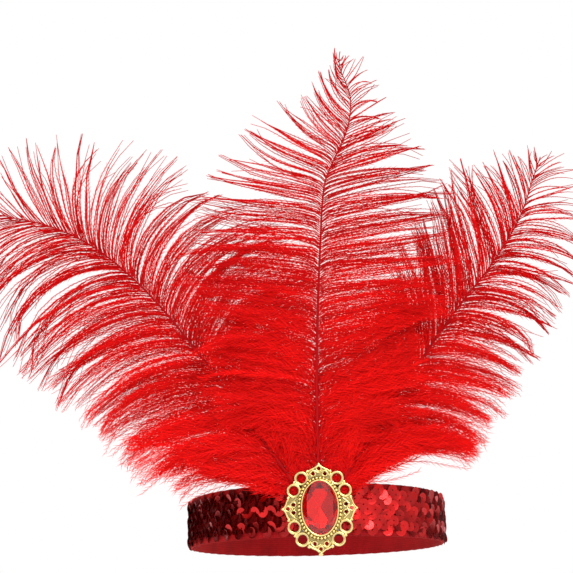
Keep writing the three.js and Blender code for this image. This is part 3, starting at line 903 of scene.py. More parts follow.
def unroll(mesh, profile, steps):
    """Texture coordinates in metres: along the loop, and round the outline of the cut."""
    count, long = len(profile), loop_length()
    around = np.cumsum([0.0, *(math.dist(*pair) for pair in zip(profile, profile[1:]))])
    layer = mesh.uv_layers.new(name="UVMap")
    for polygon in mesh.polygons:
        rows, sides = zip(*(divmod(vertex, count) for vertex in polygon.vertices))
        for corner, row, side in zip(polygon.loop_indices, rows, sides):
            wrap_row = steps if row == 0 and steps - 1 in rows else row
            wrap_side = -1 if side == 0 and count - 1 in sides else side
            layer.data[corner].uv = (wrap_row / steps * long, around[wrap_side])


def build_elastic():
    settings = bpy.context.scene.headband_elastic
    profile = elastic_profile(settings)
    shares = np.arange(settings.steps) / settings.steps
    waves = wave_count()
    sections = []
    for share, spot, outward in zip(shares, *loop_frames(shares)):
        swell = math.sin(math.tau * waves * share)
        section = []
        for out, high in profile:
            near_edge = (abs(high) / (BAND_HEIGHT / 2)) ** RUFFLE_NARROWNESS
            lifted = high - settings.ruffle * near_edge * (1 - swell) / 2 * math.copysign(1, high)
            section.append(Vector(spot) + Vector(outward) * out + Vector((0, 0, lifted)))
        sections.append(section)
    mesh = solid_mesh("elastic_band_cloth", *loft(sections, ring=True))
    unroll(mesh, profile, settings.steps)
    piece = new_object("elastic_band_cloth", mesh)
    mesh.materials.append(elastic_material(settings))
    settle(piece, "elastic", "elastic_band")


def row_path(settings, row, outside):
    """Guide points of a zigzag row with the direction outwards and along the string at each."""
    waves = wave_count()
    shares = np.arange(PATH_STEPS * waves) / (PATH_STEPS * waves)
    spots, outward = loop_frames(shares)
    path = spots + outward * outside
    low, high = ROW_BOXES[row]
    zigzag = 1 - 4 * np.abs(np.mod(shares * waves, 1.0) - 0.5)
    pointed = 0.4 + 0.6 * np.abs(zigzag)
    path[:, 2] = (low.z + high.z) / 2 + settings.rise * np.sin(zigzag * math.pi / 2) * pointed
    along = np.roll(path, -1, axis=0) - np.roll(path, 1, axis=0)
    along /= np.linalg.norm(along, axis=1)[:, None]
    return path, outward, along


# Sequins

SEQUIN_SIDES = 16
FLAT_SHARE = 0.72
SEQUIN_LIFT = 0.85
SEQUIN_SEEDS = (3, 13, 23)


def sequin_template(settings):
    """One cupped disc with a sewing hole, flat as far out as the flat share says."""
    hole, rim = settings.hole / 2, settings.diameter / 2
    foil, cup = settings.foil, settings.cup
    profile = ((hole, foil / 2), (FLAT_SHARE * rim, foil / 2 + 0.2 * cup), (rim, cup), (hole, -foil / 2))
    points, faces = revolve(profile, SEQUIN_SIDES)
    return new_object("sequin_template", solid_mesh("sequin_template", points, faces, smooth_faces=False))


def sequin_tree():
    """Sews discs along a string, each leaned on the next and a little uneven."""
    tree, given, result = growth_tree(
        "SequinString", {"Sequin": "Object", "Count": 100, "Tilt": 0.3, "Scatter": 0.1, "Seed": 0}
    )
    spaced = spaced_evenly(tree, curve_of(tree, given), Count=given["Count"])
    upright = node_out(
        tree, "FunctionNodeAxesToRotation",
        {0: attribute(tree, "outward", "FLOAT_VECTOR"), 1: attribute(tree, "along", "FLOAT_VECTOR")},
        primary_axis="Z", secondary_axis="X",
    )
    negative = math_node(tree, "MULTIPLY", given["Scatter"], -1.0)
    sway, nod = (
        random_value(tree, negative, given["Scatter"], given["Seed"], step) for step in range(2)
    )
    lean = node_out(
        tree, "ShaderNodeCombineXYZ", {"X": sway, "Y": math_node(tree, "SUBTRACT", nod, given["Tilt"])}
    )
    leaned = node_out(
        tree, "FunctionNodeRotateRotation",
        {"Rotation": upright, "Rotate By": node_out(tree, "FunctionNodeEulerToRotation", {0: lean})},
        rotation_space="LOCAL",
    )
    toned = store_number(tree, spaced, "shade", random_value(tree, 0.0, 1.0, given["Seed"], 2))
    disc = node_out(tree, "GeometryNodeObjectInfo", {"Object": given["Sequin"]}, "Geometry")
    sewn = node_out(
        tree, "GeometryNodeInstanceOnPoints", {"Points": toned, "Instance": disc, "Rotation": leaned}
    )
    return finish_growth(tree, sewn, given["Material"], result)


def build_sequins():
    settings = bpy.context.scene.headband_sequins
    tree = sequin_tree()
    template = sequin_template(settings)
    values = {
        "Sequin": template, "Count": wave_count() * settings.per_wave, "Tilt": settings.tilt,
        "Scatter": settings.scatter, "Material": sequin_material(settings),
    }
    lift = SEQUIN_LIFT * settings.diameter / 2 * math.sin(settings.tilt) + settings.foil
    for row, node in enumerate(ROW_NODES):
        path, outward, along = row_path(settings, row, bpy.context.scene.headband_elastic.wall + lift)
        guide = guide_mesh(node, [path], closed=True, outward=[outward], along=[along])
        settle(grow(node + "_discs", guide, tree, {**values, "Seed": SEQUIN_SEEDS[row]}), "sequins", node)
    bpy.data.objects.remove(template)


# The brooch, drawn flat: X to the right, Y up, Z from its back plane to the front

BROOCH_PLACE = Matrix.Translation((0, BROOCH_BACK, 0)) @ Matrix.Rotation(math.pi / 2, 4, "X")
OVAL_STEPS = 96
WIRE_SIDES = 8
GIRDLE = 3.0 * MM
QUARTERS = ((1, 1), (-1, 1), (1, -1), (-1, -1))

# How far the collar goes beyond its beads and the bezel above the girdle, and how deep the middles
# and the seat of the beads lie under the girdle, as shares of a bead
COLLAR_MARGIN = 0.1 * MM
BEZEL_LIP = 0.8 * MM
BEAD_DEPTH, SEAT_DEPTH = 0.35, 0.75

# How far inwards the floor's ring goes before a flat hub closes it, as a share of the half width
HUB_SHARE = 0.6

# Profile of the cup from its foot over the collar and the bezel's lip down to its floor: offsets in
# millimetres, outwards and up, from the corner where an edge and a level meet
CUP_PROFILE = (
    ("collar_out", "foot", ((-0.3, 0.0), (0.0, 0.3))),
    ("collar_out", "seat", ((0.0, -0.6), (-0.35, -0.15), (-0.9, 0.0))),
    ("bezel_out", "seat", ((0.1, 0.0), (0.0, 0.1))),
    ("bezel_out", "bezel_top", ((0.0, -0.3), (-0.12, 0.02), (-0.4, 0.14))),
    ("gap", "bezel_top", ((-0.25, 0.08), (-0.5, -0.1), (-0.5, -0.2), (-0.1, -0.32), (0.0, -0.5))),
    ("gap", "floor", ((0.0, 0.1), (-0.1, 0.0))),
)

# Where the two loops of a quarter sit, and the outline of their wire in wire radii, with a shallow
# step inside its rounded top
LOOP_ANGLES = (54, 29.5)
LOOP_SIDES = 36
LOOP_OUTLINE = (
    (-0.85, 0.15), (-0.95, 0.7), (-0.8, 1.35), (-0.45, 1.62), (-0.2, 1.56), (0.05, 1.92),
    (0.45, 1.95), (0.85, 1.6), (1.08, 0.9), (1.0, 0.25), (0.7, 0.0), (-0.6, 0.0),
)

# Balls in the notch between two loops, and beside a shoulder: their shares of the way out, their
# height or their step aside, and their size as a share of the stud
NOTCH_TURN = 29
NOTCH_BALLS = ((1.0, 1.0, 1.0), (0.94, 0.7, 0.8))
SHOULDER_BALLS = ((1.0, 0.0, 1.0), (0.45, 0.2 * MM, 0.85))

# The pointed ends in millimetres: outwards and aside for the shoulder and the paired eyes, and
# outwards for the tip. Each end has its turn, its form and the radius of the ball on its tip.
SIDE_END = {"shoulder": (4.9, 6.2), "eye": (2.1, 2.2), "tip": 8.2}
LONG_END = {"shoulder": (3.2, 6.4), "eye": (1.7, 3.3), "tip": 7.2}
ENDS = ((0, SIDE_END, 0.9), (180, SIDE_END, 0.9), (90, LONG_END, 0.9), (270, LONG_END, 1.4))

# Edge of a pointed end from its shoulder to its tip, as shares of the way out and of the way aside
END_FLANK = ((0.05, 1.0), (0.33, 0.74), (0.55, 0.42), (0.88, 0.16), (1.06, 0.03))
SPLINE_STEPS = 5

PLATE_THICKNESS = 0.95 * MM
PLATE_SOFTNESS = 0.22 * MM
EYE_SIDES, RIM_SIDES = 14, 18
RIM_WIRE = 0.48 * MM

# Scrolls on an end: a ridge inside its edge, and a brow that swells in the middle. The brow starts by
# the foot and the shoulder, and goes on round the paired eye: outwards from it in eye radii, its share
# of the eye's way aside, and eye radii beyond that.
SCROLL_RAISED = 0.2 * MM
RIDGE_RADIUS = 0.52 * MM
RIDGE_INSET = (0.35 * MM, 0.3 * MM)
BROW_START = (2.6 * MM, -0.5 * MM)
BROW_LINE = ((0.9, 1.0, 1.35), (1.9, 1.0, 0.1), (1.2, 0.42, 0.0), (0.6, 0.0, 0.0))
BROW_ENDS, BROW_SWELL = 0.4, 0.3

COLLAR_WIRE = {"radius": 0.5 * MM, "outside": 0.1 * MM, "height": 0.6 * MM, "stretch": 1.3}
# Heights over the back plane between which the border's painted shade fades out
BORDER_RECESS, BORDER_TOP = 0.7 * MM, 1.35 * MM
CAST_EDGE = math.radians(55)
BEAD_RING_STEPS = 240
BEAD_SEED = 5


def brooch_levels(settings):
    """Heights and reaches that the cup, collar and border share."""
    bezel_out = settings.clearance + settings.bezel_wall
    girdle = STONE_BACK + GIRDLE
    return {
        "foot": 0.0,
        "floor": settings.floor,
        "gap": settings.clearance,
        "bezel_out": bezel_out,
        "collar_out": bezel_out + settings.bead + COLLAR_MARGIN,
        "bezel_top": girdle + BEZEL_LIP,
        "beads": girdle - BEAD_DEPTH * settings.bead,
        "seat": girdle - SEAT_DEPTH * settings.bead,
    }


def cup_part(levels):
    """Floor, bezel with a rolled lip, and the collar that carries the beads, in one closed profile."""
    profile = [
        (levels[edge] + out * MM, levels[level] + high * MM)
        for edge, level, offsets in CUP_PROFILE
        for out, high in offsets
    ]
    half_width, half_height = STONE_WIDTH / 2, STONE_HEIGHT / 2
    profile += [(-HUB_SHARE * half_width, levels[level]) for level in ("floor", "foot")]
    points, faces = revolve(profile, OVAL_STEPS, half_width, half_height)
    count = len(profile)
    hub = (count - 2, count - 1)
    kept = [face for face in faces if (face[0] % count, face[1] % count) != hub]
    return points, kept + [tuple(step * count + last for step in range(OVAL_STEPS)) for last in hub]


def beside_collar(turn, distance, levels):
    """Where something sits that is a distance outside the collar, at an angle of the oval."""
    across = STONE_WIDTH / 2 + levels["collar_out"]
    up = STONE_HEIGHT / 2 + levels["collar_out"]
    turn = math.radians(turn)
    normal = Vector((math.cos(turn) / across, math.sin(turn) / up)).normalized()
    return Vector((across * math.cos(turn), up * math.sin(turn))) + normal * distance


def loop_part(spot, settings):
    middle, wire = settings.loop_radius, settings.wire
    profile = [(middle + out * wire, high * wire) for out, high in LOOP_OUTLINE]
    return moved(revolve(profile, LOOP_SIDES), Matrix.Translation((spot.x, spot.y, 0)))


def quarter_parts(settings, levels, right, up):
    """Two large loops and the balls in the notch between them; the other quarters mirror them."""
    reach = settings.loop_radius + settings.wire / 2
    upper, side = (beside_collar(turn, reach, levels) for turn in LOOP_ANGLES)
    toward = (side - upper).normalized()
    toward.rotate(Matrix.Rotation(math.radians(NOTCH_TURN), 2))
    notch = upper + toward * (reach + settings.wire)
    *loops, notch = (Vector((spot.x * right, spot.y * up)) for spot in (upper, side, notch))
    return [loop_part(spot, settings) for spot in loops] + [
        ball((*(notch * out), high * settings.wire), size * settings.stud) for out, high, size in NOTCH_BALLS
    ]


def plate_part(outline, holes):
    """A flat plate with eyes cut through and softened edges."""
    curve = bpy.data.curves.new("plate_outline", "CURVE")
    curve.dimensions = "2D"
    curve.fill_mode = "BOTH"
    curve.extrude = PLATE_THICKNESS / 2 - PLATE_SOFTNESS
    curve.bevel_depth = PLATE_SOFTNESS
    curve.bevel_resolution = 1
    curve.offset = -PLATE_SOFTNESS
    for points in [outline, *holes]:
        line = curve.splines.new("POLY")
        line.points.add(len(points) - 1)
        line.use_cyclic_u = True
        for knot, (x, y) in zip(line.points, points):
            knot.co = (x, y, 0, 1)
    flat = new_object("plate_outline", curve)
    depsgraph = bpy.context.evaluated_depsgraph_get()
    mesh = bpy.data.meshes.new_from_object(flat.evaluated_get(depsgraph))
    shape = bmesh.new()
    shape.from_mesh(mesh)
    bmesh.ops.remove_doubles(shape, verts=shape.verts, dist=0.002 * MM)
    bmesh.ops.recalc_face_normals(shape, faces=shape.faces)
    points = [vert.co + Vector((0, 0, PLATE_THICKNESS / 2)) for vert in shape.verts]
    faces = [[vert.index for vert in face.verts] for face in shape.faces]
    shape.free()
    bpy.data.objects.remove(flat)
    bpy.data.meshes.remove(mesh)
    return points, faces


def end_parts(settings, levels, turn, end, tip_radius):
    """A pointed end: pierced plate, rims round its eyes, raised scrolls, shoulder balls and tip ball."""
    eye = settings.eye
    shoulder_out, shoulder_aside = (part * MM for part in end["shoulder"])
    eye_out, eye_aside = (part * MM for part in end["eye"])
    tip = end["tip"] * MM
    foot = -settings.bead - settings.bezel_wall
    far_eye = (eye_out + tip) / 2 + 0.2 * eye
    edge = spline(
        [
            Vector((shoulder_out + out * (tip - shoulder_out), aside * shoulder_aside, 0))
            for out, aside in END_FLANK
        ],
        SPLINE_STEPS,
    )
    outline = [(foot, shoulder_aside), *((spot.x, spot.y) for spot in edge)]
    outline += [(x, -y) for x, y in reversed(outline)]
    eyes = [(eye_out, eye_aside), (eye_out, -eye_aside), (far_eye, 0)]
    parts = [plate_part(outline, [circle(spot, eye, EYE_SIDES) for spot in eyes])]
    rim = circle((eye + RIM_WIRE, PLATE_THICKNESS), RIM_WIRE, WIRE_SIDES)
    parts += [moved(revolve(rim, RIM_SIDES), Matrix.Translation((x, y, 0))) for x, y in eyes]
    raised = Vector((0, 0, PLATE_THICKNESS + SCROLL_RAISED))
    brow_line = [
        (foot + BROW_START[0], shoulder_aside + BROW_START[1]),
        *((eye_out + out * eye, share * eye_aside + aside * eye) for out, share, aside in BROW_LINE),
    ]
    for side in (-1, 1):
        ridge = [
            Vector((spot.x - RIDGE_INSET[0], (spot.y - RIDGE_INSET[1]) * side, 0)) + raised for spot in edge
        ]
        brow = spline([Vector((x, y * side, 0)) + raised for x, y in brow_line], SPLINE_STEPS)
        bulge = [math.sin(math.pi * step / (len(brow) - 1)) for step in range(len(brow))]
        parts.append(tube(ridge, [RIDGE_RADIUS] * len(ridge)))
        parts.append(tube(brow, [(BROW_ENDS + BROW_SWELL * part) * MM for part in bulge]))
        for out, aside, size in SHOULDER_BALLS:
            spot = (out * shoulder_out, side * (shoulder_aside + aside), settings.wire)
            parts.append(ball(spot, size * settings.stud))
    parts.append(ball((tip, 0, settings.wire), tip_radius * MM))
    base = beside_collar(turn, 0, levels)
    place = Matrix.Translation((*base, 0)) @ Matrix.Rotation(math.radians(turn), 4, "Z")
    return [moved(part, place) for part in parts]


def collar_wire(levels):
    """The rounded edge where the border leaves the collar."""
    center = (levels["collar_out"] + COLLAR_WIRE["outside"], COLLAR_WIRE["height"])
    profile = circle(center, COLLAR_WIRE["radius"], WIRE_SIDES, COLLAR_WIRE["stretch"])
    return revolve(profile, OVAL_STEPS, STONE_WIDTH / 2, STONE_HEIGHT / 2)


def bead_tree():
    """Sets beads along a ring, each a little smaller than the largest."""
    tree, given, result = growth_tree("BeadRing", {"Count": 40, "Radius": MM, "Uneven": 0.05, "Seed": 0})
    spaced = spaced_evenly(tree, curve_of(tree, given), Count=given["Count"])
    bead = node_out(tree, "GeometryNodeMeshIcoSphere", {"Radius": given["Radius"], "Subdivisions": 3})
    round_bead = node_out(tree, "GeometryNodeSetShadeSmooth", {"Geometry": bead})
    size = random_value(tree, math_node(tree, "SUBTRACT", 1.0, given["Uneven"]), 1.0, given["Seed"])
    placed = node_out(
        tree, "GeometryNodeInstanceOnPoints", {"Points": spaced, "Instance": round_bead, "Scale": size}
    )
    return finish_growth(tree, placed, given["Material"], result)


def build_setting():
    settings = bpy.context.scene.headband_brooch
    levels = brooch_levels(settings)
    # Both golds carry painted shade towards the back plane: the border's below its top, the collar's from the
    # beads down to their seat
    border_gold = gold_material("BorderGold", settings, BORDER_RECESS, BORDER_TOP)
    collar_gold = gold_material("CollarGold", settings, levels["seat"], levels["beads"] + 0.2 * MM)
    parts = [cup_part(levels), collar_wire(levels)]
    cup_faces = len(parts[0][1])
    for right, up in QUARTERS:
        parts += quarter_parts(settings, levels, right, up)
    for turn, end, tip_radius in ENDS:
        parts += end_parts(settings, levels, turn, end, tip_radius)
    points, faces = join_parts(parts)
    mesh = solid_mesh("brooch_setting_cast", [BROOCH_PLACE @ Vector(point) for point in points], faces)
    mesh.set_sharp_from_angle(angle=CAST_EDGE)
    mesh.materials.append(border_gold)
    mesh.materials.append(collar_gold)
    mesh.polygons.foreach_set("material_index", [int(index < cup_faces) for index in range(len(faces))])
    settle(new_object("brooch_setting_cast", mesh), "gold", "brooch_setting")

    middle = (levels["bezel_out"] + levels["collar_out"]) / 2
    half_width, half_height = STONE_WIDTH / 2 + middle, STONE_HEIGHT / 2 + middle
    ring = [
        BROOCH_PLACE @ Vector((half_width * math.cos(turn), half_height * math.sin(turn), levels["beads"]))
        for turn in np.linspace(0, math.tau, BEAD_RING_STEPS, endpoint=False)
    ]
    round_it = sum((spot - before).length for spot, before in zip(ring, ring[-1:] + ring))
    values = {
        "Count": round(round_it / settings.bead_pitch), "Radius": settings.bead / 2, "Seed": BEAD_SEED,
        "Material": collar_gold,
    }
    guide = guide_mesh("brooch_beads", [np.array(ring)], closed=True)
    settle(grow("brooch_bead_ring", guide, bead_tree(), values), "gold", "brooch_setting")


# The stone. Corners of its table as shares of its half width and half height, and the points of the
# 32-sided girdle that they meet
TABLE_CORNERS = (
    (0.73, 0.42), (0.62, 0.56), (-0.62, 0.56), (-0.73, 0.42),
    (-0.73, -0.42), (-0.62, -0.56), (0.62, -0.56), (0.73, -0.42),
)
TABLE_GIRDLE = (3, 4, 12, 13, 19, 20, 28, 29)
GIRDLE_SIDES = 32
GIRDLE_EDGE = 0.4 * MM

# Where the four kites of the pavilion meet its fans, and how far out and high that is
WAIST_TURNS = (49, 131, 229, 311)
WAIST_SHARE, WAIST_RISE = 0.6, 0.34

# Painted reflections on the foil, as levels of light and shade: for each kite, and for the three facets of a
# fan in the upper and the lower half
KITE_PAINTED_REFLECTIONS = (0.42, 0.75, 1.0, 1.0)
FAN_PAINTED_REFLECTIONS = ((0.7, 0.5, 0.8), (0.95, 0.85, 1.0))
FAN_SPANS = ((0, 4), (3, 6), (5, 9))


def stone_points():
    """The table's corners, the girdle's upper and lower ring, the waist's four points and the culet."""
    half_width, half_height = STONE_WIDTH / 2, STONE_HEIGHT / 2

    def oval(turns, share, high):
        return [
            Vector((share * half_width * math.cos(turn), share * half_height * math.sin(turn), high))
            for turn in map(math.radians, turns)
        ]

    around = [360 * step / GIRDLE_SIDES for step in range(GIRDLE_SIDES)]
    return [
        *(Vector((across * half_width, up * half_height, STONE_DEPTH)) for across, up in TABLE_CORNERS),
        *oval(around, 1.0, GIRDLE + GIRDLE_EDGE),
        *oval(around, 1.0, GIRDLE),
        *oval(WAIST_TURNS, WAIST_SHARE, WAIST_RISE * GIRDLE),
        Vector((0, 0, 0)),
    ]


def stone_facets():
    """Corners of each facet with its painted reflection level on the foil, which the clear facets don't have.
    """
    corners = len(TABLE_CORNERS)
    girdle_top = corners
    girdle_foot = girdle_top + GIRDLE_SIDES
    waist = girdle_foot + GIRDLE_SIDES
    culet = waist + len(WAIST_TURNS)
    clear = [tuple(range(corners))]
    for near in range(corners):
        far = (near + 1) % corners
        span = (TABLE_GIRDLE[far] - TABLE_GIRDLE[near]) % GIRDLE_SIDES
        edge = [girdle_top + (TABLE_GIRDLE[near] + step) % GIRDLE_SIDES for step in range(span + 1)]
        if span < 4:
            clear.append((near, *edge, far))
            continue
        third = span // 3
        clear.append((near, *edge[: third + 1]))
        clear.append((near, *edge[third : span - third + 1], far))
        clear.append((far, *edge[span - third :]))
    for step in range(GIRDLE_SIDES):
        after = (step + 1) % GIRDLE_SIDES
        clear.append((girdle_foot + step, girdle_foot + after, girdle_top + after, girdle_top + step))

    foiled = []
    for corner, tone in enumerate(KITE_PAINTED_REFLECTIONS):
        fan = [girdle_foot + (8 * corner + step) % GIRDLE_SIDES for step in range(9)]
        foiled.append(((culet, waist + (corner - 1) % 4, fan[0], waist + corner), tone))
        for (start, stop), tone in zip(FAN_SPANS, FAN_PAINTED_REFLECTIONS[corner // 2]):
            foiled.append(((waist + corner, *fan[start:stop]), tone))
    return [(facet, None) for facet in clear] + foiled


def build_stone():
    """An oval cut: table, crown, girdle, and a foiled pavilion of four kites with fans between."""
    settings = bpy.context.scene.headband_brooch
    faces, painted_reflections = zip(*stone_facets())
    place = BROOCH_PLACE @ Matrix.Translation((0, 0, STONE_BACK))
    mesh = solid_mesh("brooch_stone_cut", [place @ point for point in stone_points()], faces, False)
    # Each foiled facet keeps its painted reflection level for the foil material
    mesh.attributes.new("facet", "FLOAT", "FACE").data.foreach_set(
        "value", [1.0 if tone is None else tone for tone in painted_reflections]
    )
    mesh.materials.append(glass_material(settings))
    mesh.materials.append(foil_material(settings))
    mesh.polygons.foreach_set("material_index", [int(tone is not None) for tone in painted_reflections])
    settle(new_object("brooch_stone_cut", mesh), "stone", "brooch_stone")


def build_pin():
    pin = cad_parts["brooch_pin"]
    piece = bpy.data.objects[pin] if isinstance(pin, str) else pin
    piece.data.materials.clear()
    piece.data.materials.append(steel_material(bpy.context.scene.headband_brooch))


# Plumes

BARB_STEPS = 8
BARB_CROWDING = 1.35
ROOT_ANGLE = 30
ROOT_BEND = 4 * MM
RIPPLE_LENGTH = 36 * MM
QUILL_STEPS = 144
QUILL_TAPER = 1.25
QUILL_BLUNT = 0.6

# How barbules differ: how far they open, how far they point to the front or back, how their flat
# side leans, and how long they are; and how thin they are beside their width
BARBULE_OPENING = (0.5, 1.5)
BARBULE_DEPTH = (-0.35, 0.35)
BARBULE_LEAN = (-0.8, 0.8)
BARBULE_LENGTHS = (0.55, 1.15)
BARBULE_THINNESS = 0.3

# Strands of one barb by the share of the plume's length at its root: downy below, thin towards the tip
STRANDS = ((0.0, 6.2), (0.2, 5.2), (0.34, 4.1), (0.5, 3.0), (0.65, 2.15), (0.8, 1.6), (0.88, 1.0), (1.0, 0.6))

# How downy the barbs are by the same share: softer waves and wider barbules near the root
DOWN = ((0.0, 1.0), (0.22, 0.9), (0.4, 0.35), (0.6, 0.0))

# How slender the barbs are by the same share: tighter, barer and a little thicker towards the tip
SLENDER = ((0.0, 0.0), (0.32, 0.0), (0.65, 1.0), (1.0, 1.0))

# Between which shares of the plume's length the barbules get shorter once more
TOP_THINNING = (0.78, 0.92)

# Clumps differ between two limits, or by a spread round a mean. Turns, curls and ripples are in
# degrees, and the rest are shares.
CLUMP = {
    "stand": (0.1, 1.0), "turn": 3.2, "curl": 15, "reach": 0.055, "loose": (0.2, 0.5),
    "gather": (0.75, 1.15), "tightest": 0.95, "ripple": (2, 7),
}
STAYS_IN_FRONT, COMES_TO_FRONT = 0.35, 0.65

# Spreads of the strands in a clump, which a stray multiplies, and how little a stray clings
STRAND = {"stand": 0.12, "turn": 2.0, "curl": 10, "reach": 0.07, "ripple": 1, "phase": 0.05}
STRAY_WILDNESS = 2.2
STRAY_CLING = 0.15

# How far a strand wanders from its clump's middle along each axis, in millimetres
WOBBLE = (0.9, 1.3, 0.9)

# Within its outline the brooch keeps strands behind it and flattens their barbules; outside it they
# may come forward by so many millimetres for each time the outline's size
BACK_CLEARANCE = 0.5 * MM
COME_FORWARD = 12
FLATTENED = (0.95, 1.3)


def quill_line(plume):
    """Shares of the length, points of a quill from the brooch to its tip, and the lean at each."""
    shares = np.arange(QUILL_STEPS + 1) / QUILL_STEPS
    middles = (shares[1:] + shares[:-1]) / 2
    marks, leans = zip(*plume["spine"])
    lean = np.radians(np.interp(middles, marks, leans))
    stride = plume["length"] / QUILL_STEPS
    across, up = (np.concatenate([[0], np.cumsum(stride * part)]) for part in (np.sin(lean), np.cos(lean)))
    back = plume["set_back"] * smooth(shares, *STAND_BACK) - CURL_FORWARD * shares**3
    points = np.stack([plume["aside"] + across, back - QUILL_LINE, up], axis=1)
    return shares, points, np.interp(shares, marks, leans)


def along_line(at, shares, points):
    """Points of a line at one share of its length or at several."""
    return np.stack([np.interp(at, shares, points[:, axis]) for axis in range(3)], axis=-1)


def barb_path(plume, rows, side, at, quill, reach, turn, curl, stand, ripple):
    """One barb: it leaves the quill steeply, bends outwards and goes on to its end heading."""
    shares, points, leans = quill
    vane = {name: table_value(rows, column, at) for column, name in enumerate(VANE_COLUMNS)}
    long = vane["reach"] * plume["barb_length"] * reach
    root_lean = np.interp(at, shares, leans) + side * ROOT_ANGLE
    marks = (np.arange(BARB_STEPS + 1) / BARB_STEPS) ** BARB_CROWDING
    middles = (marks[1:] + marks[:-1]) / 2
    lean = vane["leave"] + (vane["end"] - vane["leave"]) * middles + turn + curl * middles**3
    lean += ripple[0] * np.sin(math.tau * (middles * long / RIPPLE_LENGTH + ripple[1])) * middles
    bent = 1 - np.exp(-middles * long / ROOT_BEND)
    lean = np.radians(root_lean + (lean - root_lean) * bent)
    strides = np.diff(marks) * long
    path = np.tile(along_line(at, shares, points), (BARB_STEPS + 1, 1))
    path[1:, 0] += np.cumsum(strides * np.sin(lean))
    path[1:, 2] += np.cumsum(strides * np.cos(lean))
    depth = -vane["fore"] * stand if stand > 0 else -vane["aft"] * stand
    path[:, 1] += bpy.context.scene.headband_plumes.spread * depth * marks**2
    return marks, path, long


def vane_clumps(rng, settings, first, last, plume):
    """Stretches of the quill whose barbs cling together, each with its own bend, reach and depth."""
    found, at, front = [], first, True
    while at < last:
        down, slender = table_value(DOWN, 1, at), table_value(SLENDER, 1, at)
        wide = rng.uniform(settings.clump_low, settings.clump_high) * (1 - 0.35 * slender) / plume["length"]
        stop = min(at + wide, last)
        found.append(
            {
                "to": stop, "middle": (at + stop) / 2,
                "stand": rng.uniform(*CLUMP["stand"]) * (1 if front else -1),
                "turn": rng.gauss(0, CLUMP["turn"]),
                "curl": rng.gauss(0, CLUMP["curl"]),
                "reach": rng.gauss(1.0, CLUMP["reach"]),
                "loose": rng.uniform(*CLUMP["loose"]),
                "gather": rng.uniform(*CLUMP["gather"]),
                "tight": rng.uniform(0.5 + 0.25 * slender, CLUMP["tightest"]) * (1 - 0.6 * down),
                "ripple": (rng.uniform(*CLUMP["ripple"]) + 3 * down, rng.random()),
                "shade": rng.random(),
            }
        )
        front = rng.random() < (STAYS_IN_FRONT if front else COMES_TO_FRONT)
        at = stop
    return found


def strand_manner(rng, clump, stray, down):
    """How one strand departs from its clump."""
    wild = STRAY_WILDNESS if stray else 1.0
    ripple, phase = clump["ripple"]
    return {
        "reach": clump["reach"] * (1 - abs(rng.gauss(0, STRAND["reach"] * wild))),
        "turn": clump["turn"] + rng.gauss(0, STRAND["turn"] * wild + 3 * down),
        "curl": clump["curl"] + rng.gauss(0, STRAND["curl"] * wild),
        "stand": clump["stand"] + rng.gauss(0, STRAND["stand"] * wild),
        "ripple": (ripple + rng.gauss(0, STRAND["ripple"]), phase + rng.gauss(0, STRAND["phase"] * wild)),
    }


def cling(rng, clump, stray, down, strand, center):
    """Draws a strand to the middle of its clump, with a wobble of its own."""
    marks, path, long = strand
    center_marks, center_path, center_long = center
    target = along_line(np.minimum(marks * long / center_long, 1), center_marks, center_path)
    wobble = np.array([rng.gauss(0, part) for part in WOBBLE]) * MM * (1 + down)
    tight = STRAY_CLING if stray else clump["tight"]
    share = tight * smooth(marks, clump["loose"], clump["gather"])
    path += (target - path) * share[:, None] + wobble * np.sin(math.pi * marks**0.8)[:, None]


def keep_off_brooch(path):
    """Keeps a strand behind the brooch; gives how far out each point is, the outline being 1."""
    around = np.hypot(path[:, 0] / (SETTING_HIGH.x + MM), path[:, 2] / (SETTING_HIGH.z + MM))
    limit = BROOCH_BACK + BACK_CLEARANCE - np.maximum(around - 1, 0) * COME_FORWARD * MM
    path[:, 1] = np.maximum(path[:, 1], limit)
    return around


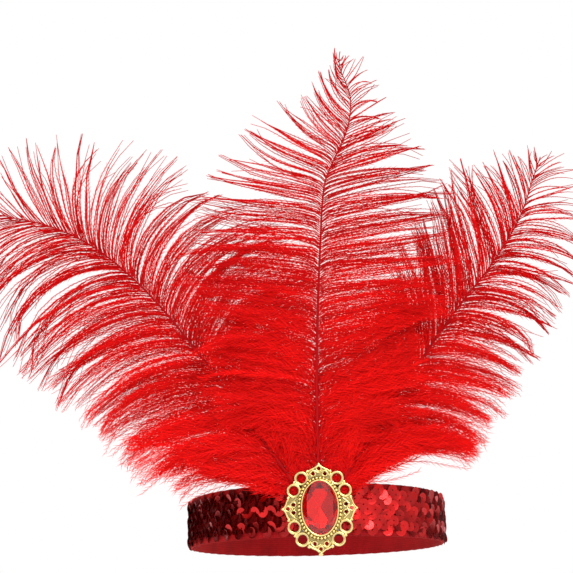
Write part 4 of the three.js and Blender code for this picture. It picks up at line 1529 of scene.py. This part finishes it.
def vane_guides(plume, side_name, settings):
    """Strands of one vane, with the numbers that the geometry tree and the material read."""
    rng = random.Random(f"{plume['seed']}-{side_name}")
    rows = plume[side_name]
    side = 1 if side_name == "right" else -1
    quill = quill_line(plume)
    first, last = rows[0][0], rows[-1][0]
    clumps = vane_clumps(rng, settings, first, last, plume)
    count = round((last - first) * plume["length"] / settings.barb_pitch)
    lines = []
    numbers = {name: [] for name in ("along", "share", "shade", "thickness", "fluff")}
    for index in range(count):
        at = first + (last - first) * (index + rng.uniform(-0.15, 0.15) + 0.5) / count
        clump = next((found for found in clumps if at <= found["to"]), clumps[-1])
        down, slender = table_value(DOWN, 1, at), table_value(SLENDER, 1, at)
        middle = {key: clump[key] for key in ("reach", "turn", "curl", "stand", "ripple")}
        center = barb_path(plume, rows, side, clump["middle"], quill, **middle)
        strands = int(table_value(STRANDS, 1, at) + rng.random())
        for number in range(strands):
            stray = rng.random() < settings.strays
            manner = strand_manner(rng, clump, stray, down)
            apart = (number / strands - 0.5) * (0.35 + 0.65 * down) * settings.barb_pitch / plume["length"]
            strand = barb_path(plume, rows, side, at + apart, quill, **manner)
            cling(rng, clump, stray, down, strand, center)
            marks, path, long = strand
            around = keep_off_brooch(path)
            along = np.gradient(path, axis=0)
            along /= np.linalg.norm(along, axis=1)[:, None]
            bare = smooth(marks * long, 0.5 * MM, (5 - 3.5 * down) * MM)
            thinning = 1 - (0.9 - 0.4 * down) * smooth(marks, 0.3 + 0.3 * rng.random(), 0.92)
            thinning = thinning * (1 - 0.42 * slender - 0.3 * smooth(at, *TOP_THINNING))
            flattened = 0.4 + 0.6 * smooth(around, *FLATTENED)
            shade = 0.6 * clump["shade"] + 0.4 * rng.random()
            thick = settings.barb_radius * (1 + 0.3 * down + 0.85 * slender)
            downy = 0.75 + 0.25 * rng.random() + 0.25 * down
            lines.append(path)
            numbers["along"].append(along)
            numbers["share"].append(marks)
            numbers["shade"].append(np.full(len(marks), shade))
            numbers["thickness"].append(thick * (1 - (0.6 - 0.15 * slender) * marks**2))
            numbers["fluff"].append((0.15 + 0.85 * bare) * thinning * flattened * downy)
    return lines, numbers


def vane_tree():
    """Sweeps each barb and plants barbules along both of its edges."""
    tree, given, result = growth_tree(
        "PlumeVane",
        {
            "Sides": 3, "Barbule Pitch": 1.5 * MM, "Barbule Length": 6 * MM, "Barbule Width": 0.15 * MM,
            "Barbule Angle": 0.5, "Seed": 0,
        },
    )
    barbs = curve_of(tree, given)
    spaced = spaced_evenly(tree, barbs, Length=given["Barbule Pitch"])
    along = vector_node(tree, "NORMALIZE", attribute(tree, "along", "FLOAT_VECTOR"))
    edge = vector_node(tree, "NORMALIZE", vector_node(tree, "CROSS_PRODUCT", along, (0.0, 1.0, 0.0)))
    odd = math_node(tree, "MODULO", node_out(tree, "GeometryNodeInputIndex"), 2.0)
    swap = math_node(tree, "SUBTRACT", math_node(tree, "MULTIPLY", odd, 2.0), 1.0)
    opening = math_node(
        tree, "MULTIPLY", given["Barbule Angle"], random_value(tree, *BARBULE_OPENING, given["Seed"])
    )
    forward = scaled(tree, along, math_node(tree, "COSINE", opening))
    aside = scaled(tree, edge, math_node(tree, "MULTIPLY", math_node(tree, "SINE", opening), swap))
    depth = random_value(tree, *BARBULE_DEPTH, given["Seed"], 1)
    off_plane = node_out(tree, "ShaderNodeCombineXYZ", {"Y": depth})
    pointing = vector_node(tree, "ADD", vector_node(tree, "ADD", forward, aside), off_plane)
    lean = scaled(tree, edge, random_value(tree, *BARBULE_LEAN, given["Seed"], 3))
    flat = vector_node(tree, "ADD", lean, (0.0, 1.0, 0.0))
    turned = node_out(
        tree, "FunctionNodeAxesToRotation", {0: pointing, 1: flat}, primary_axis="Z", secondary_axis="Y"
    )
    longest = math_node(tree, "MULTIPLY", attribute(tree, "fluff"), given["Barbule Length"])
    long = math_node(tree, "MULTIPLY", longest, random_value(tree, *BARBULE_LENGTHS, given["Seed"], 2))
    thin = math_node(tree, "MULTIPLY", given["Barbule Width"], BARBULE_THINNESS)
    size = node_out(tree, "ShaderNodeCombineXYZ", {"X": given["Barbule Width"], "Y": thin, "Z": long})
    spike = node_out(
        tree, "GeometryNodeMeshCone",
        {"Vertices": 3, "Side Segments": 1, "Radius Top": 0.0, "Radius Bottom": 1.0, "Depth": 1.0},
        fill_type="NGON",
    )
    toned = store_number(tree, spaced, "tone", 1.0)
    planted = node_out(
        tree, "GeometryNodeInstanceOnPoints",
        {"Points": toned, "Instance": spike, "Rotation": turned, "Scale": size},
    )
    joined = node_out(tree, "GeometryNodeJoinGeometry", {0: [swept(tree, barbs, given["Sides"]), planted]})
    return finish_growth(tree, joined, given["Material"], result)


def quill_tree():
    """Sweeps a quill."""
    tree, given, result = growth_tree("PlumeQuill", {"Sides": 10})
    quill = swept(tree, curve_of(tree, given), given["Sides"])
    return finish_growth(tree, quill, given["Material"], result)


def build_plumes():
    settings = bpy.context.scene.headband_plumes
    feather, horn = feather_material(settings), quill_material(settings)
    vanes, quills = vane_tree(), quill_tree()
    values = {
        "Barbule Pitch": settings.barbule_pitch, "Barbule Length": settings.barbule_length,
        "Barbule Width": settings.barbule_width, "Barbule Angle": settings.barbule_angle,
        "Material": feather,
    }
    for node, plume in PLUMES.items():
        shares, points, _ = quill_line(plume)
        taper = (1 - shares) ** QUILL_TAPER
        radius = settings.quill_tip + (settings.quill_root - settings.quill_tip) * taper
        radius[0] *= QUILL_BLUNT
        guide = guide_mesh(node, [points], thickness=[radius], share=[shares])
        settle(grow(node + "_quill", guide, quills, {"Material": horn}), "feather", node)
        for side_name in ("left", "right"):
            lines, numbers = vane_guides(plume, side_name, settings)
            guide = guide_mesh(node, lines, **numbers)
            vane = grow(f"{node}_vane_{side_name}", guide, vanes, {**values, "Seed": plume["seed"]})
            settle(vane, "feather", node)


# Floor, light and camera

# Direction of the soft box, and how the world's light goes from a least to a most strength: with
# the height, with the way from the front, and in mirrors with the nearness to the soft box
SOFTBOX_SIDE = (0.42, -0.76, 0.5)
WORLD_LIGHT = {"height": (-0.5, 0.6, 0.3, 1.45), "front": (-1.0, -0.3, 0.45, 1.0)}
WORLD_MIRRORED = (0.3, 1.0, 0.06, 1.6)


def build_world():
    """White to the eye. It lights less from below and from the front, and mirrors as a soft box."""
    world = bpy.data.worlds.new("StudioWorld")
    bpy.context.scene.world = world
    world.use_nodes = True
    tree = world.node_tree
    spot = node_out(tree, "ShaderNodeTexCoord", output="Generated")
    front, height = (node_out(tree, "ShaderNodeSeparateXYZ", {0: spot}, axis) for axis in "YZ")
    above = remap(tree, height, *WORLD_LIGHT["height"])
    beside = remap(tree, front, *WORLD_LIGHT["front"])
    toward = node_out(
        tree, "ShaderNodeVectorMath", {0: spot, 1: SOFTBOX_SIDE}, "Value", operation="DOT_PRODUCT"
    )
    mirrored = remap(tree, toward, *WORLD_MIRRORED)
    rays = add_node(tree, "ShaderNodeLightPath").outputs
    lit = mix_value(tree, rays["Is Glossy Ray"], math_node(tree, "MULTIPLY", above, beside), mirrored)
    seen = mix_value(tree, rays["Is Camera Ray"], lit, 1.0)
    feed(tree, tree.nodes["Background"], Color=(1.0, 1.0, 1.0, 1.0), Strength=seen)


# Side and place of the soft lights, which look at the middle of the headband
KEY_LIGHT = (0.9, (0.6, -1.3, 1.1))
FILL_LIGHT = (1.2, (-1.2, -1.0, 0.5))
CLIP_NEAR, CLIP_FAR = 0.01, 50
SENSOR_WIDTH = 36


def soft_light(name, power, side, place):
    lamp = bpy.data.lights.new(name, "AREA")
    lamp.energy = power
    lamp.shape = "DISK"
    lamp.size = side
    middle = (Vector(CAD_BOUNDS[0]) + Vector(CAD_BOUNDS[1])) / 2
    holder = new_object(name, lamp)
    holder.location = place
    holder.rotation_euler = (middle - Vector(place)).to_track_quat("-Z", "Y").to_euler()


def build_stage():
    settings = bpy.context.scene.headband_stage
    half = settings.floor_side / 2
    mesh = bpy.data.meshes.new("floor")
    corners = [(-half, -half), (half, -half), (half, half), (-half, half)]
    mesh.from_pydata([(x, y, settings.floor_height) for x, y in corners], [], [(0, 1, 2, 3)])
    mesh.materials.append(floor_material(settings))
    new_object("floor", mesh)
    build_world()
    soft_light("key_light", settings.key_power, *KEY_LIGHT)
    soft_light("fill_light", settings.fill_power, *FILL_LIGHT)

    data = bpy.data.cameras.new("camera")
    data.sensor_width = SENSOR_WIDTH
    data.lens = settings.lens
    data.clip_start, data.clip_end = CLIP_NEAR, CLIP_FAR
    camera = new_object("camera", data)
    look = Matrix.Rotation(math.pi / 2 + settings.camera_pitch, 4, "X")
    camera.matrix_world = (
        Matrix.Translation(settings.camera_place) @ look @ Matrix.Rotation(settings.camera_roll, 4, "Z")
    )
    bpy.context.scene.camera = camera
    bpy.context.scene.view_settings.view_transform = "Standard"


# Operators, panel and registration


class HeadbandStep(Operator):
    """One step of building the headband."""

    bl_options = {"REGISTER", "UNDO"}
    builders = ()

    def execute(self, context):
        for builder in self.builders:
            builder()
        return {"FINISHED"}


class HEADBAND_OT_stage(HeadbandStep):
    """Floor, light and camera"""

    bl_idname = "headband.stage"
    bl_label = "Stage"
    builders = (build_stage,)


class HEADBAND_OT_elastic(HeadbandStep):
    """Ribbed elastic loop"""

    bl_idname = "headband.elastic"
    bl_label = "Elastic band"
    builders = (build_elastic,)


class HEADBAND_OT_sequins(HeadbandStep):
    """Three zigzag rows of overlapping sequins"""

    bl_idname = "headband.sequins"
    bl_label = "Sequin rows"
    builders = (build_sequins,)


class HEADBAND_OT_brooch(HeadbandStep):
    """Cast gold setting, foiled stone and the bar behind them"""

    bl_idname = "headband.brooch"
    bl_label = "Brooch"
    builders = (build_setting, build_stone, build_pin)


class HEADBAND_OT_plumes(HeadbandStep):
    """Three plumes with their barbs and barbules"""

    bl_idname = "headband.plumes"
    bl_label = "Plumes"
    builders = (build_plumes,)


class HEADBAND_PT_parts(Panel):
    """Lists the sizes and the steps"""

    bl_label = "Feather Headband"
    bl_idname = "HEADBAND_PT_parts"
    bl_space_type = "VIEW_3D"
    bl_region_type = "UI"
    bl_category = "Headband"

    def draw(self, context):
        for name, settings_class, step in GROUPS:
            box = self.layout.box()
            for field in settings_class.__annotations__:
                box.prop(getattr(context.scene, name), field)
            box.operator(step.bl_idname)


GROUPS = (
    ("headband_stage", HeadbandStage, HEADBAND_OT_stage),
    ("headband_elastic", HeadbandElastic, HEADBAND_OT_elastic),
    ("headband_sequins", HeadbandSequins, HEADBAND_OT_sequins),
    ("headband_brooch", HeadbandBrooch, HEADBAND_OT_brooch),
    ("headband_plumes", HeadbandPlumes, HEADBAND_OT_plumes),
)


def register():
    for name, settings_class, step in GROUPS:
        bpy.utils.register_class(settings_class)
        bpy.utils.register_class(step)
        setattr(bpy.types.Scene, name, PointerProperty(type=settings_class))
    bpy.utils.register_class(HEADBAND_PT_parts)


def unregister():
    bpy.utils.unregister_class(HEADBAND_PT_parts)
    for name, settings_class, step in reversed(GROUPS):
        delattr(bpy.types.Scene, name)
        bpy.utils.unregister_class(step)
        bpy.utils.unregister_class(settings_class)


def main():
    register()
    bpy.ops.headband.stage()
    bpy.ops.headband.elastic()
    bpy.ops.headband.sequins()
    bpy.ops.headband.brooch()
    bpy.ops.headband.plumes()


if __name__ == "__main__":
    main()
